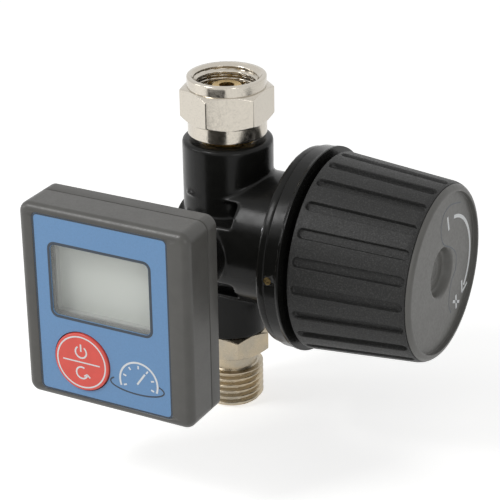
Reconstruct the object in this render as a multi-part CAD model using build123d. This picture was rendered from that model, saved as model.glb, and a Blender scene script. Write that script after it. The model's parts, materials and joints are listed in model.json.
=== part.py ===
from build123d import *
from math import atan, cos, pi, radians, sin, sqrt, tan
import os

# An in-line air regulator for a spray gun, in millimetres.
# The air flows up along Z. The knob turns about an axis along +X, and the gauge faces -Y.
# The origin is on the flow axis, at the middle of the inlet thread.

# Clearances
running = 0.08
slip = 0.05
loose = 0.3
touch_free = 0.2

# Edges and joins
edge_break = 0.3
fine_break = 0.15
thread_tip = 0.8
fuse_overlap = 0.5

# Inlet fitting, from the thread upwards
inlet_thread_length = 8.4
inlet_thread_radius = 6.75
inlet_end_chamfer = 1.0
inlet_neck_length = 3.6
inlet_neck_radius = 5.5
inlet_hex_flats = 14.7
inlet_hex_height = 4.9
inlet_hex_turn = -52.5
inlet_bore_radius = 3.4
inlet_spigot_radius = 5.4
inlet_spigot_length = 6.0
inlet_plenum_height = 2.0
inlet_bore_mouth = 1.2

# Ring seals on the inlet spigot and the swivel stem
seal_groove_width = 1.3
seal_groove_depth = 0.9
seal_groove_inset = 1.2

# Cast body
lower_tube_length = 22.6
lower_tube_radius = 7.6
upper_tube_length = 21.2
upper_tube_radius = 9.5
tube_rim_chamfer = 0.5
barrel_radius = 14.2
barrel_back_x = -6.0
barrel_back_round = 2.0
flange_back_x = 17.1
flange_thickness = 2.1
flange_radius = 20.9
flange_root_round = 1.0
pocket_half_width = 7.2
pocket_outer_height = 10.6
land_half_height = 6.4
pocket_floor_depth = 7.0
gauge_boss_radius = 6.6
gauge_boss_reach = 24.0
valve_boss_radius = 6.0
valve_boss_reach = 10.4

# Passages in the body
stem_bore_radius = 6.0
stem_bore_depth = 9.0
outlet_passage_radius = 2.0
outlet_passage_x = 3.8
inlet_passage_radius = 1.7
inlet_passage_x = -3.5
valve_chamber_radius = 4.2
seat_lip_x = -1.5
seat_lip_height = 0.6
seat_lip_wall = 0.8
orifice_radius = 1.9
outlet_chamber_start_x = 1.5
outlet_chamber_radius = 6.4
dish_depth = 3.2
dish_radius = 12.8
gauge_port_radius = 4.9
gauge_port_depth = 9.0
gauge_port_gap = 1.0
sense_hole_radius = 1.0
sense_hole_x = 3.0

# Swivel outlet
stem_neck_radius = 4.6
stem_head_radius = 5.9
stem_nose_radius = 3.0
stem_nose_length = 7.4
stem_cone_angle = 30.0
stem_tip_bore_radius = 1.6
stem_lower_bore_radius = 2.4
stem_tip_wall = 6.5
stem_foot_gap = 0.5
nut_gap = 1.0
nut_length = 12.5
nut_flats = 17.0
nut_turn = -28.0
nut_collar_radius = 8.25
nut_lower_collar_height = 3.1
nut_upper_collar_height = 2.3
nut_lip_thickness = 2.5
nut_bore_radius = 6.85
nut_mouth_chamfer = 0.5

# Bonnet, which carries the spring cage inside the knob
bonnet_flange_thickness = 3.3
bonnet_flange_radius = 21.3
bonnet_lip_radius = 21.5
bonnet_lip_width = 0.7
bonnet_relief_depth = 2.0
bonnet_relief_radius = 13.2
cage_radius = 14.0
cage_bore_radius = 11.5
cage_end_wall = 2.2
keyway_depth = 1.4
keyway_width = 3.4
bonnet_screw_count = 6
bonnet_screw_circle = 18.2
bonnet_screw_radius = 1.25
bonnet_screw_engagement = 2.6
bonnet_screw_head_radius = 2.2
bonnet_screw_head_height = 1.2
bonnet_screw_socket = 1.5
bonnet_screw_turn = 30.0
seam_pin_radius = 0.8
seam_pin_length = 3.0
seam_pin_from_joint = 0.9
seam_pin_tilt = 3.0

# Knob
knob_gap = 1.5
knob_length = 25.5
knob_base_radius = 20.7
knob_end_radius = 18.5
knob_end_round = 2.4
knob_end_drop = 1.45
knob_base_chamfer = 0.4
knob_skirt_wall = 3.4
knob_end_wall = 3.4
knob_hub_radius = 6.6
knob_recess_radius = 16.8
knob_recess_depth = 1.3
groove_count = 22
groove_width = 2.2
groove_depth = 0.9
groove_from_base = 1.2
groove_from_end = 3.9
cap_thickness = 1.0
cap_wall = 0.8
dish_in_cap_radius = 5.3
dish_in_cap_depth = 2.2
dish_in_cap_round = 0.7
dimple_radius = 2.0
dimple_depth = 0.3

# Adjusting screw and its travelling nut
adjust_thread_radius = 4.0
adjust_thread_tip_gap = 2.6
adjust_collar_radius = 7.2
adjust_collar_thickness = 2.0
thrust_washer_thickness = 0.6
thrust_washer_radius = 7.6
drive_hex_flats = 6.3
drive_hex_length = 2.3
drive_web = 0.7
knob_screw_radius = 1.5
knob_screw_head_radius = 2.8
knob_screw_head_height = 1.1
knob_screw_reach = 8.0
knob_screw_slot_width = 0.6
knob_screw_slot_depth = 0.35
spring_seat_flange = 2.0
spring_seat_boss_length = 4.7
spring_seat_boss_radius = 6.0
main_spring_radius = 7.6
main_spring_wire = 1.6
main_spring_turns = 3.6

# Diaphragm stack
diaphragm_radius = 16.4
diaphragm_thickness = 1.0
diaphragm_crown = 1.1
crown_inner_radius = 9.9
crown_outer_radius = 12.9
plate_radius = 9.5
plate_thickness = 1.2
plate_ring_radius = 6.3
plate_ring_wall = 1.6
plate_ring_height = 1.0
relief_shank_radius = 1.7
relief_head_radius = 3.6
relief_head_thickness = 1.2
relief_hole_radius = 0.7
plate_nut_flats = 5.5
plate_nut_thickness = 1.8
relief_thread_beyond_nut = 0.4

# Valve
valve_stem_radius = 1.0
poppet_radius = 3.2
poppet_thickness = 2.0
valve_seal_thickness = 1.0
poppet_tail_radius = 1.3
poppet_tail_length = 3.2
plug_face_x = -7.2
plug_socket_flats = 4.0
plug_socket_depth = 0.9
plug_guide_length = 1.0
plug_guide_wall = 0.6
plug_guide_depth = 1.6
plug_groove_x = -8.6
plug_ring_section = 1.1
valve_spring_wire = 0.45
valve_spring_turns = 2.4

# Gauge stem
gauge_stem_flats = 12.0
gauge_stem_hex_length = 6.2
gauge_stem_neck_radius = 4.5
gauge_stem_bore_radius = 1.2
stem_gasket_thickness = 0.8
stem_gasket_radius = 6.2
gauge_nut_flats = 10.5
gauge_nut_thickness = 1.5
sensor_radius = 4.1
sensor_height = 1.8

# Gauge case, whose middle is a little above the knob axis
case_width = 37.6
case_height = 41.0
case_rise = 1.5
case_front_y = -49.8
case_shell_depth = 7.5
case_cover_depth = 4.2
case_wall = 1.6
case_front_wall = 1.8
case_cover_wall = 1.6
case_corner = 2.2
case_bevel = 1.6
case_seam = 0.35
case_back_bevel = 0.8
label_width = 30.0
label_height = 38.0
label_shift = -0.6
label_corner = 1.2
label_recess = 0.4
label_thickness = 0.25
window_width = 22.0
window_height = 15.0
window_shift = -0.9
window_rise = 5.5
window_corner = 1.2
lens_step = 0.2
lens_flange = 0.8
lens_flange_thickness = 0.7
lcd_width = 25.0
lcd_height = 17.0
lcd_thickness = 1.8
lcd_frame_wall = 1.2
board_thickness = 1.2
board_margin = 0.3
board_y_from_front = 5.4
button_x = -5.7
button_z = -11.0
button_radius = 6.15
button_proud = 0.45
button_flange = 0.85
button_flange_thickness = 0.8
button_round = 0.35
button_travel = 0.4
switch_size = 6.0
switch_height = 2.0
switch_well_depth = 1.4
plunger_foot = 0.8
plunger_radius = 1.6
plunger_depth = 0.5
case_screw_x = 15.4
case_screw_z = 17.1
case_screw_radius = 0.95
case_screw_head_radius = 1.9
case_screw_head_height = 1.2
case_screw_length = 6.4
case_screw_cross = 2.4
case_screw_cross_width = 0.5
case_screw_cross_depth = 0.6
case_post_radius = 2.6
case_boss_radius = 2.0
coin_cell_radius = 6.25
coin_cell_thickness = 2.5
coin_cell_x = 8.8
coin_cell_z = -10.4
cell_clip_thickness = 0.4
cell_clip_width = 4.0

# Heights along the flow axis
thread_top_z = inlet_thread_length / 2
inlet_hex_z = thread_top_z + inlet_neck_length
tube_bottom_z = inlet_hex_z + inlet_hex_height
knob_axis_z = tube_bottom_z + lower_tube_length
tube_top_z = knob_axis_z + upper_tube_length
nut_bottom_z = tube_top_z + nut_gap
nut_top_z = nut_bottom_z + nut_length
stem_shoulder_z = nut_bottom_z + nut_lip_thickness + loose
stem_nose_z = stem_shoulder_z + stem_nose_length
stem_groove_z = tube_top_z - seal_groove_inset - seal_groove_width

# Places along the knob axis, from the joint between body and bonnet outwards
joint_x = flange_back_x + flange_thickness
bonnet_front_x = joint_x + bonnet_flange_thickness
knob_base_x = bonnet_front_x + knob_gap
knob_end_x = knob_base_x + knob_length
cap_back_x = knob_end_x - knob_recess_depth
cap_face_x = cap_back_x + cap_thickness
cap_dish_x = cap_face_x - dish_in_cap_depth
cap_cup_x = cap_dish_x - cap_wall
screw_head_x = cap_cup_x - knob_screw_head_height - touch_free / 2
drive_end_x = screw_head_x - drive_web
hub_face_x = drive_end_x - drive_hex_length
cage_end_x = hub_face_x - loose
cage_inner_x = cage_end_x - cage_end_wall
collar_front_x = cage_inner_x - thrust_washer_thickness
collar_back_x = collar_front_x - adjust_collar_thickness
seat_front_x = collar_back_x - touch_free
spring_end_x = seat_front_x - spring_seat_flange
seat_boss_x = spring_end_x - spring_seat_boss_length

# Places along the knob axis, from the joint inwards
diaphragm_x = joint_x - diaphragm_thickness
dish_floor_x = diaphragm_x - dish_depth
plate_face_x = joint_x + plate_thickness
plate_nut_x = plate_face_x + plate_nut_thickness
relief_head_x = diaphragm_x - relief_head_thickness
poppet_face_x = seat_lip_x - valve_seal_thickness
poppet_back_x = poppet_face_x - poppet_thickness

# Places along the gauge axis
case_seam_y = case_front_y + case_shell_depth
case_back_y = case_seam_y + case_cover_depth
case_inner_front_y = case_front_y + case_front_wall
case_inner_back_y = case_back_y - case_cover_wall
board_front_y = case_front_y + board_y_from_front
board_back_y = board_front_y + board_thickness
gasket_y = -gauge_boss_reach - stem_gasket_thickness
gauge_hex_y = gasket_y - gauge_stem_hex_length
gauge_nut_y = case_inner_back_y - gauge_nut_thickness
lens_back_y = case_inner_front_y + lens_flange_thickness
lcd_back_y = lens_back_y + lcd_thickness
case_z = knob_axis_z + case_rise

to_knob_axis = Pos(0, 0, knob_axis_z)
to_case = Pos(0, 0, case_z)


# Helpers
def outline(points):
    """A face in the XZ plane with the given corners."""
    return Plane.XZ * make_face(Polyline(*points, close=True))


def turned_z(points):
    """A solid turned about the flow axis, from (radius, z) corners."""
    return revolve(outline(points), Axis.Z)


def turned_x(points):
    """A solid turned about the knob axis, from (x, radius) corners."""
    return to_knob_axis * revolve(outline(points), Axis.X)


def rod_x(radius, x0, x1, y=0.0, z=0.0):
    """A round rod along X between x0 and x1, placed from the knob axis."""
    rod = Plane.YZ * Circle(radius)
    return Pos(x0, y, knob_axis_z + z) * extrude(rod, x1 - x0)


def rod_y(radius, y0, y1, x=0.0, z=0.0):
    """A round rod along Y between y0 and y1, with z as a true height."""
    rod = Plane.XZ * Circle(radius)
    return Pos(x, y1, z) * extrude(rod, y1 - y0)


def rod_z(radius, z0, z1, x=0.0, y=0.0):
    """A round rod along Z between z0 and z1."""
    return Pos(x, y, z0) * extrude(Circle(radius), z1 - z0)


def slab_y(sketch, y0, y1, x=0.0, z=0.0):
    """A flat piece of the gauge, with its outline seen from the front, between y0 and y1."""
    return Pos(x, y1, z) * extrude(Plane.XZ * sketch, y1 - y0)


def hexagon(flats, turn=0.0):
    """A hexagon by its width over the flats, with a corner at the given angle."""
    return Rot(0, 0, turn) * RegularPolygon(flats / sqrt(3), 6)


def hex_bar_z(flats, z0, z1, turn):
    """A hexagonal bar along Z whose corners are turned off by a cone at both ends."""
    corner = flats / sqrt(3)
    drop = (corner - flats / 2) / 2
    bar = Pos(0, 0, z0) * extrude(hexagon(flats, turn), z1 - z0)
    face = flats / 2 + slip
    cone = [(0, z0), (face, z0), (corner + slip, z0 + drop)]
    cone += [(corner + slip, z1 - drop), (face, z1), (0, z1)]
    return bar & turned_z(cone)


def seal_in_groove(shaft_radius, groove_z):
    """A round rubber ring that fills a groove of the shaft, which starts at groove_z."""
    section = (seal_groove_depth - slip) / 2
    ring = Torus(shaft_radius - seal_groove_depth / 2, section)
    return Pos(0, 0, groove_z + seal_groove_width / 2) * ring


def seal_groove(shaft_radius, groove_z):
    """Corners of the groove for such a ring, upwards along the shaft."""
    floor = shaft_radius - seal_groove_depth
    top_z = groove_z + seal_groove_width
    return [(shaft_radius, groove_z), (floor, groove_z), (floor, top_z), (shaft_radius, top_z)]


def coil_x(mean_radius, wire, x0, x1, turns):
    """A spring along the knob axis whose wire just touches the planes at x0 and x1."""
    rise = (x1 - x0) - wire
    path = Helix(rise / turns, rise, mean_radius)
    section = Plane(path @ 0, z_dir=path % 0) * Circle(wire / 2)
    coil = sweep(section, path)
    return Pos(x0 + wire / 2, 0, knob_axis_z) * (Rot(0, 90, 0) * coil)


def ring_x(major, minor, x):
    """A round rubber ring about the knob axis."""
    return Pos(x, 0, knob_axis_z) * (Rot(0, 90, 0) * Torus(major, minor))


def on_circle(count, radius, turn=0.0):
    """Angles and (y, z) places of a ring of fasteners about the knob axis."""
    for step in range(count):
        angle = radians(turn + 360 * step / count)
        yield radius * cos(angle), radius * sin(angle)


# Body
def body_outside():
    barrel = rod_x(barrel_radius, barrel_back_x, flange_back_x + flange_thickness / 2)
    back_edge = barrel.edges().filter_by(GeomType.CIRCLE).sort_by(Axis.X)[0]
    barrel = fillet(back_edge, barrel_back_round)
    pocket_height = pocket_outer_height - land_half_height
    pocket_middle = land_half_height + pocket_height / 2
    pocket_reach = barrel_radius + loose - pocket_floor_depth
    for side in (-1, 1):
        pocket = Box(2 * pocket_half_width, pocket_reach, pocket_height)
        centre_y = -pocket_floor_depth - pocket_reach / 2
        barrel -= Pos(0, centre_y, knob_axis_z + side * pocket_middle) * pocket
    root = flange_back_x - flange_root_round
    blend = flange_root_round * (1 - sin(pi / 4))
    flange = turned_x([
        (root, 0), (root, barrel_radius), (flange_back_x - blend, barrel_radius + blend),
        (flange_back_x, barrel_radius + flange_root_round), (flange_back_x, flange_radius - edge_break),
        (flange_back_x + edge_break, flange_radius), (joint_x - fine_break, flange_radius),
        (joint_x, flange_radius - fine_break), (joint_x, 0),
    ])
    upper = turned_z([
        (0, knob_axis_z), (upper_tube_radius, knob_axis_z),
        (upper_tube_radius, tube_top_z - tube_rim_chamfer),
        (upper_tube_radius - tube_rim_chamfer, tube_top_z), (0, tube_top_z),
    ])
    lower = rod_z(lower_tube_radius, tube_bottom_z, knob_axis_z)
    gauge_boss = rod_y(gauge_boss_radius, -gauge_boss_reach, 0, z=knob_axis_z)
    valve_boss = rod_x(valve_boss_radius, -valve_boss_reach, 0)
    return barrel + flange + upper + lower + gauge_boss + valve_boss


def body():
    shape = body_outside()
    # Inlet side: the spigot's bore, the rising passage and the valve chamber with its raised seat
    plenum_z = tube_bottom_z + inlet_spigot_length + inlet_plenum_height
    spigot_bore = inlet_spigot_radius + slip
    shape -= rod_z(spigot_bore, tube_bottom_z, plenum_z)
    shape -= rod_z(inlet_passage_radius, plenum_z - fuse_overlap, knob_axis_z, x=inlet_passage_x)
    chamber = rod_x(valve_chamber_radius, -valve_boss_reach, seat_lip_x + seat_lip_height)
    lip = rod_x(orifice_radius + seat_lip_wall, seat_lip_x, seat_lip_x + seat_lip_height)
    shape -= chamber - lip
    shape -= rod_x(orifice_radius, seat_lip_x, outlet_chamber_start_x)
    # Outlet side: the chamber under the diaphragm, its recess and the passage up to the stem
    shape -= rod_x(outlet_chamber_radius, outlet_chamber_start_x, dish_floor_x)
    shape -= rod_x(dish_radius, dish_floor_x, diaphragm_x)
    shape -= rod_x(diaphragm_radius + slip, diaphragm_x, joint_x)
    stem_bore_z = tube_top_z - stem_bore_depth
    shape -= rod_z(stem_bore_radius, stem_bore_z, tube_top_z)
    shape -= rod_z(outlet_passage_radius, knob_axis_z, stem_bore_z, x=outlet_passage_x)
    # Gauge port and the small hole that leads the outlet pressure to it
    port_floor_y = -gauge_boss_reach + gauge_port_depth
    shape -= rod_y(gauge_port_radius, -gauge_boss_reach, port_floor_y, z=knob_axis_z)
    shape -= rod_y(sense_hole_radius, port_floor_y, 0, x=sense_hole_x, z=knob_axis_z)
    screw_hole = revolve(outline(countersunk_outline(flange_back_x - slip, slip)), Axis.X)
    for y, z in on_circle(bonnet_screw_count, bonnet_screw_circle, bonnet_screw_turn):
        shape -= Pos(0, y, knob_axis_z + z) * screw_hole
    return shape


def inlet_fitting():
    start_z = -inlet_thread_length / 2
    end = inlet_end_chamfer
    top_z = tube_bottom_z + inlet_spigot_length
    turned = turned_z([
        (0, start_z), (inlet_thread_radius - end, start_z), (inlet_thread_radius, start_z + end),
        (inlet_thread_radius, thread_top_z), (inlet_neck_radius, thread_top_z),
        (inlet_neck_radius, inlet_hex_z + fuse_overlap), (0, inlet_hex_z + fuse_overlap),
    ])
    spigot = turned_z([
        (0, tube_bottom_z - fuse_overlap), (inlet_spigot_radius, tube_bottom_z - fuse_overlap),
        *seal_groove(inlet_spigot_radius, tube_bottom_z + seal_groove_inset),
        (inlet_spigot_radius, top_z), (0, top_z),
    ])
    hex_part = hex_bar_z(inlet_hex_flats, inlet_hex_z, tube_bottom_z, inlet_hex_turn)
    bore = rod_z(inlet_bore_radius, start_z, top_z)
    mouth = Pos(0, 0, start_z + inlet_bore_mouth / 2) * Cone(
        inlet_bore_radius + inlet_bore_mouth, inlet_bore_radius, inlet_bore_mouth)
    return turned + spigot + hex_part - bore - mouth


def inlet_seal():
    return seal_in_groove(inlet_spigot_radius, tube_bottom_z + seal_groove_inset)


# Swivel outlet
def swivel_stem():
    foot_z = tube_top_z - stem_bore_depth + stem_foot_gap
    body_radius = stem_bore_radius - slip
    cone_length = (stem_head_radius - stem_nose_radius) / tan(radians(stem_cone_angle))
    step_z = stem_nose_z - stem_tip_wall
    bore_cone = stem_lower_bore_radius - stem_tip_bore_radius
    return turned_z([
        (stem_lower_bore_radius, foot_z), (body_radius, foot_z),
        *seal_groove(body_radius, stem_groove_z),
        (body_radius, tube_top_z), (stem_neck_radius, tube_top_z),
        (stem_neck_radius, stem_shoulder_z), (stem_head_radius, stem_shoulder_z),
        (stem_head_radius, stem_nose_z - cone_length), (stem_nose_radius, stem_nose_z),
        (stem_tip_bore_radius, stem_nose_z), (stem_tip_bore_radius, step_z),
        (stem_lower_bore_radius, step_z - bore_cone),
    ])


def stem_seal():
    return seal_in_groove(stem_bore_radius - slip, stem_groove_z)


def swivel_nut():
    lower_top_z = nut_bottom_z + nut_lower_collar_height
    upper_bottom_z = nut_top_z - nut_upper_collar_height
    lip_top_z = nut_bottom_z + nut_lip_thickness
    mouth = nut_mouth_chamfer
    collars = turned_z([
        (0, nut_bottom_z), (nut_collar_radius - edge_break, nut_bottom_z),
        (nut_collar_radius, nut_bottom_z + edge_break), (nut_collar_radius, nut_top_z - edge_break),
        (nut_collar_radius - edge_break, nut_top_z), (0, nut_top_z),
    ])
    hex_part = hex_bar_z(nut_flats, lower_top_z, upper_bottom_z, nut_turn)
    hollow = turned_z([
        (0, nut_bottom_z), (stem_neck_radius + running, nut_bottom_z),
        (stem_neck_radius + running, lip_top_z), (nut_bore_radius, lip_top_z),
        (nut_bore_radius, nut_top_z - mouth), (nut_bore_radius + mouth, nut_top_z), (0, nut_top_z),
    ])
    return collars + hex_part - hollow


# Bonnet with its spring cage
def bonnet():
    lip_x = bonnet_front_x - bonnet_lip_width
    relief_x = joint_x + bonnet_relief_depth
    shape = turned_x([
        (joint_x, bonnet_relief_radius), (joint_x, bonnet_flange_radius - fine_break),
        (joint_x + fine_break, bonnet_flange_radius), (lip_x, bonnet_flange_radius),
        (lip_x, bonnet_lip_radius), (bonnet_front_x - fine_break, bonnet_lip_radius),
        (bonnet_front_x, bonnet_lip_radius - fine_break), (bonnet_front_x, cage_radius),
        (cage_end_x - edge_break, cage_radius), (cage_end_x, cage_radius - edge_break),
        (cage_end_x, adjust_thread_radius + running),
        (cage_inner_x, adjust_thread_radius + running), (cage_inner_x, cage_bore_radius),
        (relief_x, cage_bore_radius), (relief_x, bonnet_relief_radius),
    ])
    keyway_reach = 2 * (cage_bore_radius + keyway_depth)
    keyway = Box(collar_front_x - relief_x, keyway_width, keyway_reach)
    keyway &= Rot(0, 90, 0) * Cylinder(cage_bore_radius + keyway_depth, 2 * knob_length)
    shape -= Pos((relief_x + collar_front_x) / 2, 0, knob_axis_z) * keyway
    for y, z in on_circle(bonnet_screw_count, bonnet_screw_circle, bonnet_screw_turn):
        shape -= rod_x(bonnet_screw_radius + slip, joint_x, joint_x + bonnet_screw_engagement, y, z)
    return shape - seam_pin_shape(bonnet_flange_radius + fuse_overlap)


def seam_pin_shape(reach):
    """The radial pin's bar, from its inner end out to the given radius."""
    inner = bonnet_flange_radius - seam_pin_length
    bar = Cylinder(seam_pin_radius, reach - inner, align=(Align.CENTER, Align.CENTER, Align.MIN))
    bar = Rot(90 - seam_pin_tilt, 0, 0) * (Pos(0, 0, inner) * bar)
    return Pos(joint_x + seam_pin_from_joint, 0, knob_axis_z) * bar


def seam_pin():
    return seam_pin_shape(bonnet_flange_radius)


def countersunk_outline(start_x, grow=0.0):
    """Corners (x, radius) of a screw sunk in the back of the body's flange, or of its grown hole."""
    rim_x = flange_back_x + touch_free / 2
    cone_x = flange_back_x + bonnet_screw_head_height
    end_x = joint_x + bonnet_screw_engagement - slip
    head, shank = bonnet_screw_head_radius + grow, bonnet_screw_radius + grow
    return [(start_x, 0), (start_x, head), (rim_x, head), (cone_x, shank), (end_x, shank), (end_x, 0)]


def bonnet_screws():
    screws = []
    screw = revolve(outline(countersunk_outline(flange_back_x)), Axis.X)
    socket = Plane.YZ * hexagon(bonnet_screw_socket)
    screw -= Pos(flange_back_x, 0, 0) * extrude(socket, bonnet_screw_head_height)
    for y, z in on_circle(bonnet_screw_count, bonnet_screw_circle, bonnet_screw_turn):
        screws.append(Pos(0, y, knob_axis_z + z) * screw)
    return Compound(children=screws)


# Knob
def knob_radius_at(x):
    slope = (knob_end_radius - knob_base_radius) / knob_length
    return knob_base_radius + slope * (x - knob_base_x)


def groove_cutter():
    """One long slot with round ends, whose floor runs level with the tapered skirt."""
    start_x = knob_base_x + groove_from_base
    end_x = knob_end_x - groove_from_end
    middle_x = (start_x + end_x) / 2
    tilt = atan((knob_base_radius - knob_end_radius) / knob_length)
    floor = knob_radius_at(middle_x) - groove_depth * cos(tilt)
    along, out = (cos(tilt), 0, -sin(tilt)), (sin(tilt), 0, cos(tilt))
    level = Plane((middle_x, 0, floor), x_dir=along, z_dir=out)
    slot = SlotOverall((end_x - start_x) / cos(tilt), groove_width)
    return extrude(level * slot, 2 * groove_depth)


def knob():
    inner_end_x = cap_back_x - knob_end_wall
    base_bore = knob_base_radius - knob_skirt_wall
    end_bore = knob_radius_at(inner_end_x) - knob_skirt_wall
    cup_radius = dish_in_cap_radius + cap_wall + slip
    head_bore = knob_screw_head_radius + touch_free
    screw_bore = knob_screw_radius + touch_free
    round_start = (knob_end_x - knob_end_round, knob_radius_at(knob_end_x - knob_end_round))
    round_end = (knob_end_x, knob_end_radius - knob_end_drop)
    round_middle = (knob_end_x - knob_end_round * (1 - sin(pi / 4)),
                    knob_end_radius - knob_end_drop * (1 - cos(pi / 4)))
    base_edge = (knob_base_x + knob_base_chamfer, knob_base_radius)
    skin = make_face([
        Line(base_edge, round_start),
        ThreePointArc(round_start, round_middle, round_end),
        Polyline(round_end,
                 (knob_end_x, knob_recess_radius), (cap_back_x, knob_recess_radius),
                 (cap_back_x, cup_radius), (cap_cup_x, cup_radius), (cap_cup_x, head_bore),
                 (screw_head_x, head_bore), (screw_head_x, screw_bore),
                 (hub_face_x, screw_bore), (hub_face_x, knob_hub_radius),
                 (inner_end_x, knob_hub_radius), (inner_end_x, end_bore),
                 (knob_base_x, base_bore), (knob_base_x, knob_base_radius - knob_base_chamfer),
                 base_edge),
    ])
    shape = revolve(Plane.XZ * skin, Axis.X)
    socket = Plane.YZ * hexagon(drive_hex_flats + 2 * slip)
    shape -= Pos(hub_face_x, 0, 0) * extrude(socket, drive_hex_length)
    cutter = groove_cutter()
    for step in range(groove_count):
        shape -= Rot(360 * step / groove_count, 0, 0) * cutter
    return to_knob_axis * shape


def knob_cap():
    edge = knob_recess_radius - slip
    dish_wall = dish_in_cap_round
    floor_radius = dish_in_cap_radius - dish_wall
    dimple_x = cap_dish_x - dimple_depth
    cup_radius = dish_in_cap_radius + cap_wall
    return turned_x([
        (cap_back_x, edge), (cap_face_x - fine_break, edge), (cap_face_x, edge - fine_break),
        (cap_face_x, dish_in_cap_radius),
        (cap_face_x - dish_wall / 3, dish_in_cap_radius - dish_wall / 2),
        (cap_dish_x + dish_wall / 3, floor_radius), (cap_dish_x, floor_radius - dish_wall / 2),
        (cap_dish_x, dimple_radius), (dimple_x, dimple_radius - dimple_depth), (dimple_x, 0),
        (cap_cup_x, 0), (cap_cup_x, cup_radius), (cap_back_x, cup_radius),
    ])


def adjusting_screw():
    tip_x = plate_nut_x + adjust_thread_tip_gap
    shape = turned_x([
        (tip_x, 0), (tip_x, adjust_thread_radius - thread_tip),
        (tip_x + thread_tip, adjust_thread_radius),
        (collar_back_x, adjust_thread_radius), (collar_back_x, adjust_collar_radius),
        (collar_front_x, adjust_collar_radius), (collar_front_x, adjust_thread_radius),
        (hub_face_x, adjust_thread_radius), (hub_face_x, 0),
    ])
    drive = Plane.YZ * hexagon(drive_hex_flats)
    shape += Pos(hub_face_x, 0, knob_axis_z) * extrude(drive, drive_hex_length)
    return shape - rod_x(knob_screw_radius + slip, screw_head_x - knob_screw_reach, drive_end_x)


def knob_screw():
    head_end_x = screw_head_x + knob_screw_head_height
    head = rod_x(knob_screw_head_radius, screw_head_x, head_end_x)
    head = chamfer(head.edges().filter_by(GeomType.CIRCLE).sort_by(Axis.X)[-1], edge_break)
    shank = rod_x(knob_screw_radius, screw_head_x - knob_screw_reach + touch_free, screw_head_x)
    slot = Box(2 * knob_screw_slot_depth, 2 * knob_screw_head_radius, knob_screw_slot_width)
    return head + shank - Pos(head_end_x, 0, knob_axis_z) * slot


def thrust_washer():
    return rod_x(thrust_washer_radius, collar_front_x, cage_inner_x) - rod_x(
        adjust_thread_radius + running, collar_front_x, cage_inner_x)


def spring_seat():
    flange_radius_in_cage = cage_bore_radius - loose
    flange = rod_x(flange_radius_in_cage, spring_end_x, seat_front_x)
    key_reach = cage_bore_radius + keyway_depth - loose
    key = Box(spring_seat_flange, keyway_width - 2 * loose, 2 * key_reach)
    key &= Rot(0, 90, 0) * Cylinder(key_reach, knob_length)
    flange += Pos((spring_end_x + seat_front_x) / 2, 0, knob_axis_z) * key
    boss = rod_x(spring_seat_boss_radius, seat_boss_x, spring_end_x)
    return flange + boss - rod_x(adjust_thread_radius + running, seat_boss_x, seat_front_x)


def main_spring():
    return coil_x(main_spring_radius, main_spring_wire, plate_face_x, spring_end_x, main_spring_turns)


# Diaphragm stack
def diaphragm():
    half = diaphragm_thickness
    middle = (crown_inner_radius + crown_outer_radius) / 2
    crown_x = joint_x + diaphragm_crown
    hole = relief_shank_radius + slip
    face = make_face([
        Polyline((diaphragm_x, crown_inner_radius), (diaphragm_x, hole), (joint_x, hole),
                 (joint_x, crown_inner_radius - half / 2)),
        ThreePointArc((joint_x, crown_inner_radius - half / 2), (crown_x, middle),
                      (joint_x, crown_outer_radius + half / 4)),
        Polyline((joint_x, crown_outer_radius + half / 4), (joint_x, diaphragm_radius),
                 (diaphragm_x, diaphragm_radius), (diaphragm_x, crown_outer_radius)),
        ThreePointArc((diaphragm_x, crown_outer_radius), (crown_x - half, middle),
                      (diaphragm_x, crown_inner_radius)),
    ])
    return to_knob_axis * revolve(Plane.XZ * face, Axis.X)


def diaphragm_plate():
    ring_end_x = plate_face_x + plate_ring_height
    ring_inner = plate_ring_radius - plate_ring_wall
    hole = relief_shank_radius + slip
    return turned_x([
        (joint_x, hole), (joint_x, plate_radius - edge_break), (joint_x + edge_break, plate_radius),
        (plate_face_x, plate_radius), (plate_face_x, plate_ring_radius),
        (ring_end_x, plate_ring_radius - edge_break), (ring_end_x, ring_inner),
        (plate_face_x, ring_inner), (plate_face_x, hole),
    ])


def relief_seat():
    end_x = plate_nut_x + relief_thread_beyond_nut
    return turned_x([
        (relief_head_x, relief_hole_radius), (relief_head_x, relief_head_radius - edge_break),
        (relief_head_x + edge_break, relief_head_radius), (diaphragm_x, relief_head_radius),
        (diaphragm_x, relief_shank_radius), (end_x - edge_break, relief_shank_radius),
        (end_x, relief_shank_radius - edge_break), (end_x, relief_hole_radius),
    ])


def plate_nut():
    sketch = Plane.YZ * (hexagon(plate_nut_flats) - Circle(relief_shank_radius + slip))
    return Pos(plate_face_x, 0, knob_axis_z) * extrude(sketch, plate_nut_thickness)


# Valve
def poppet():
    tail_x = poppet_back_x - poppet_tail_length
    return turned_x([
        (tail_x, 0), (tail_x, poppet_tail_radius - fine_break),
        (tail_x + fine_break, poppet_tail_radius), (poppet_back_x, poppet_tail_radius),
        (poppet_back_x, poppet_radius - edge_break), (poppet_back_x + edge_break, poppet_radius),
        (poppet_face_x, poppet_radius), (poppet_face_x, valve_stem_radius),
        (relief_head_x - fine_break, valve_stem_radius),
        (relief_head_x, valve_stem_radius - fine_break), (relief_head_x, 0),
    ])


def valve_seal():
    return rod_x(poppet_radius - touch_free, poppet_face_x, seat_lip_x) - rod_x(
        valve_stem_radius + slip, poppet_face_x, seat_lip_x)


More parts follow.
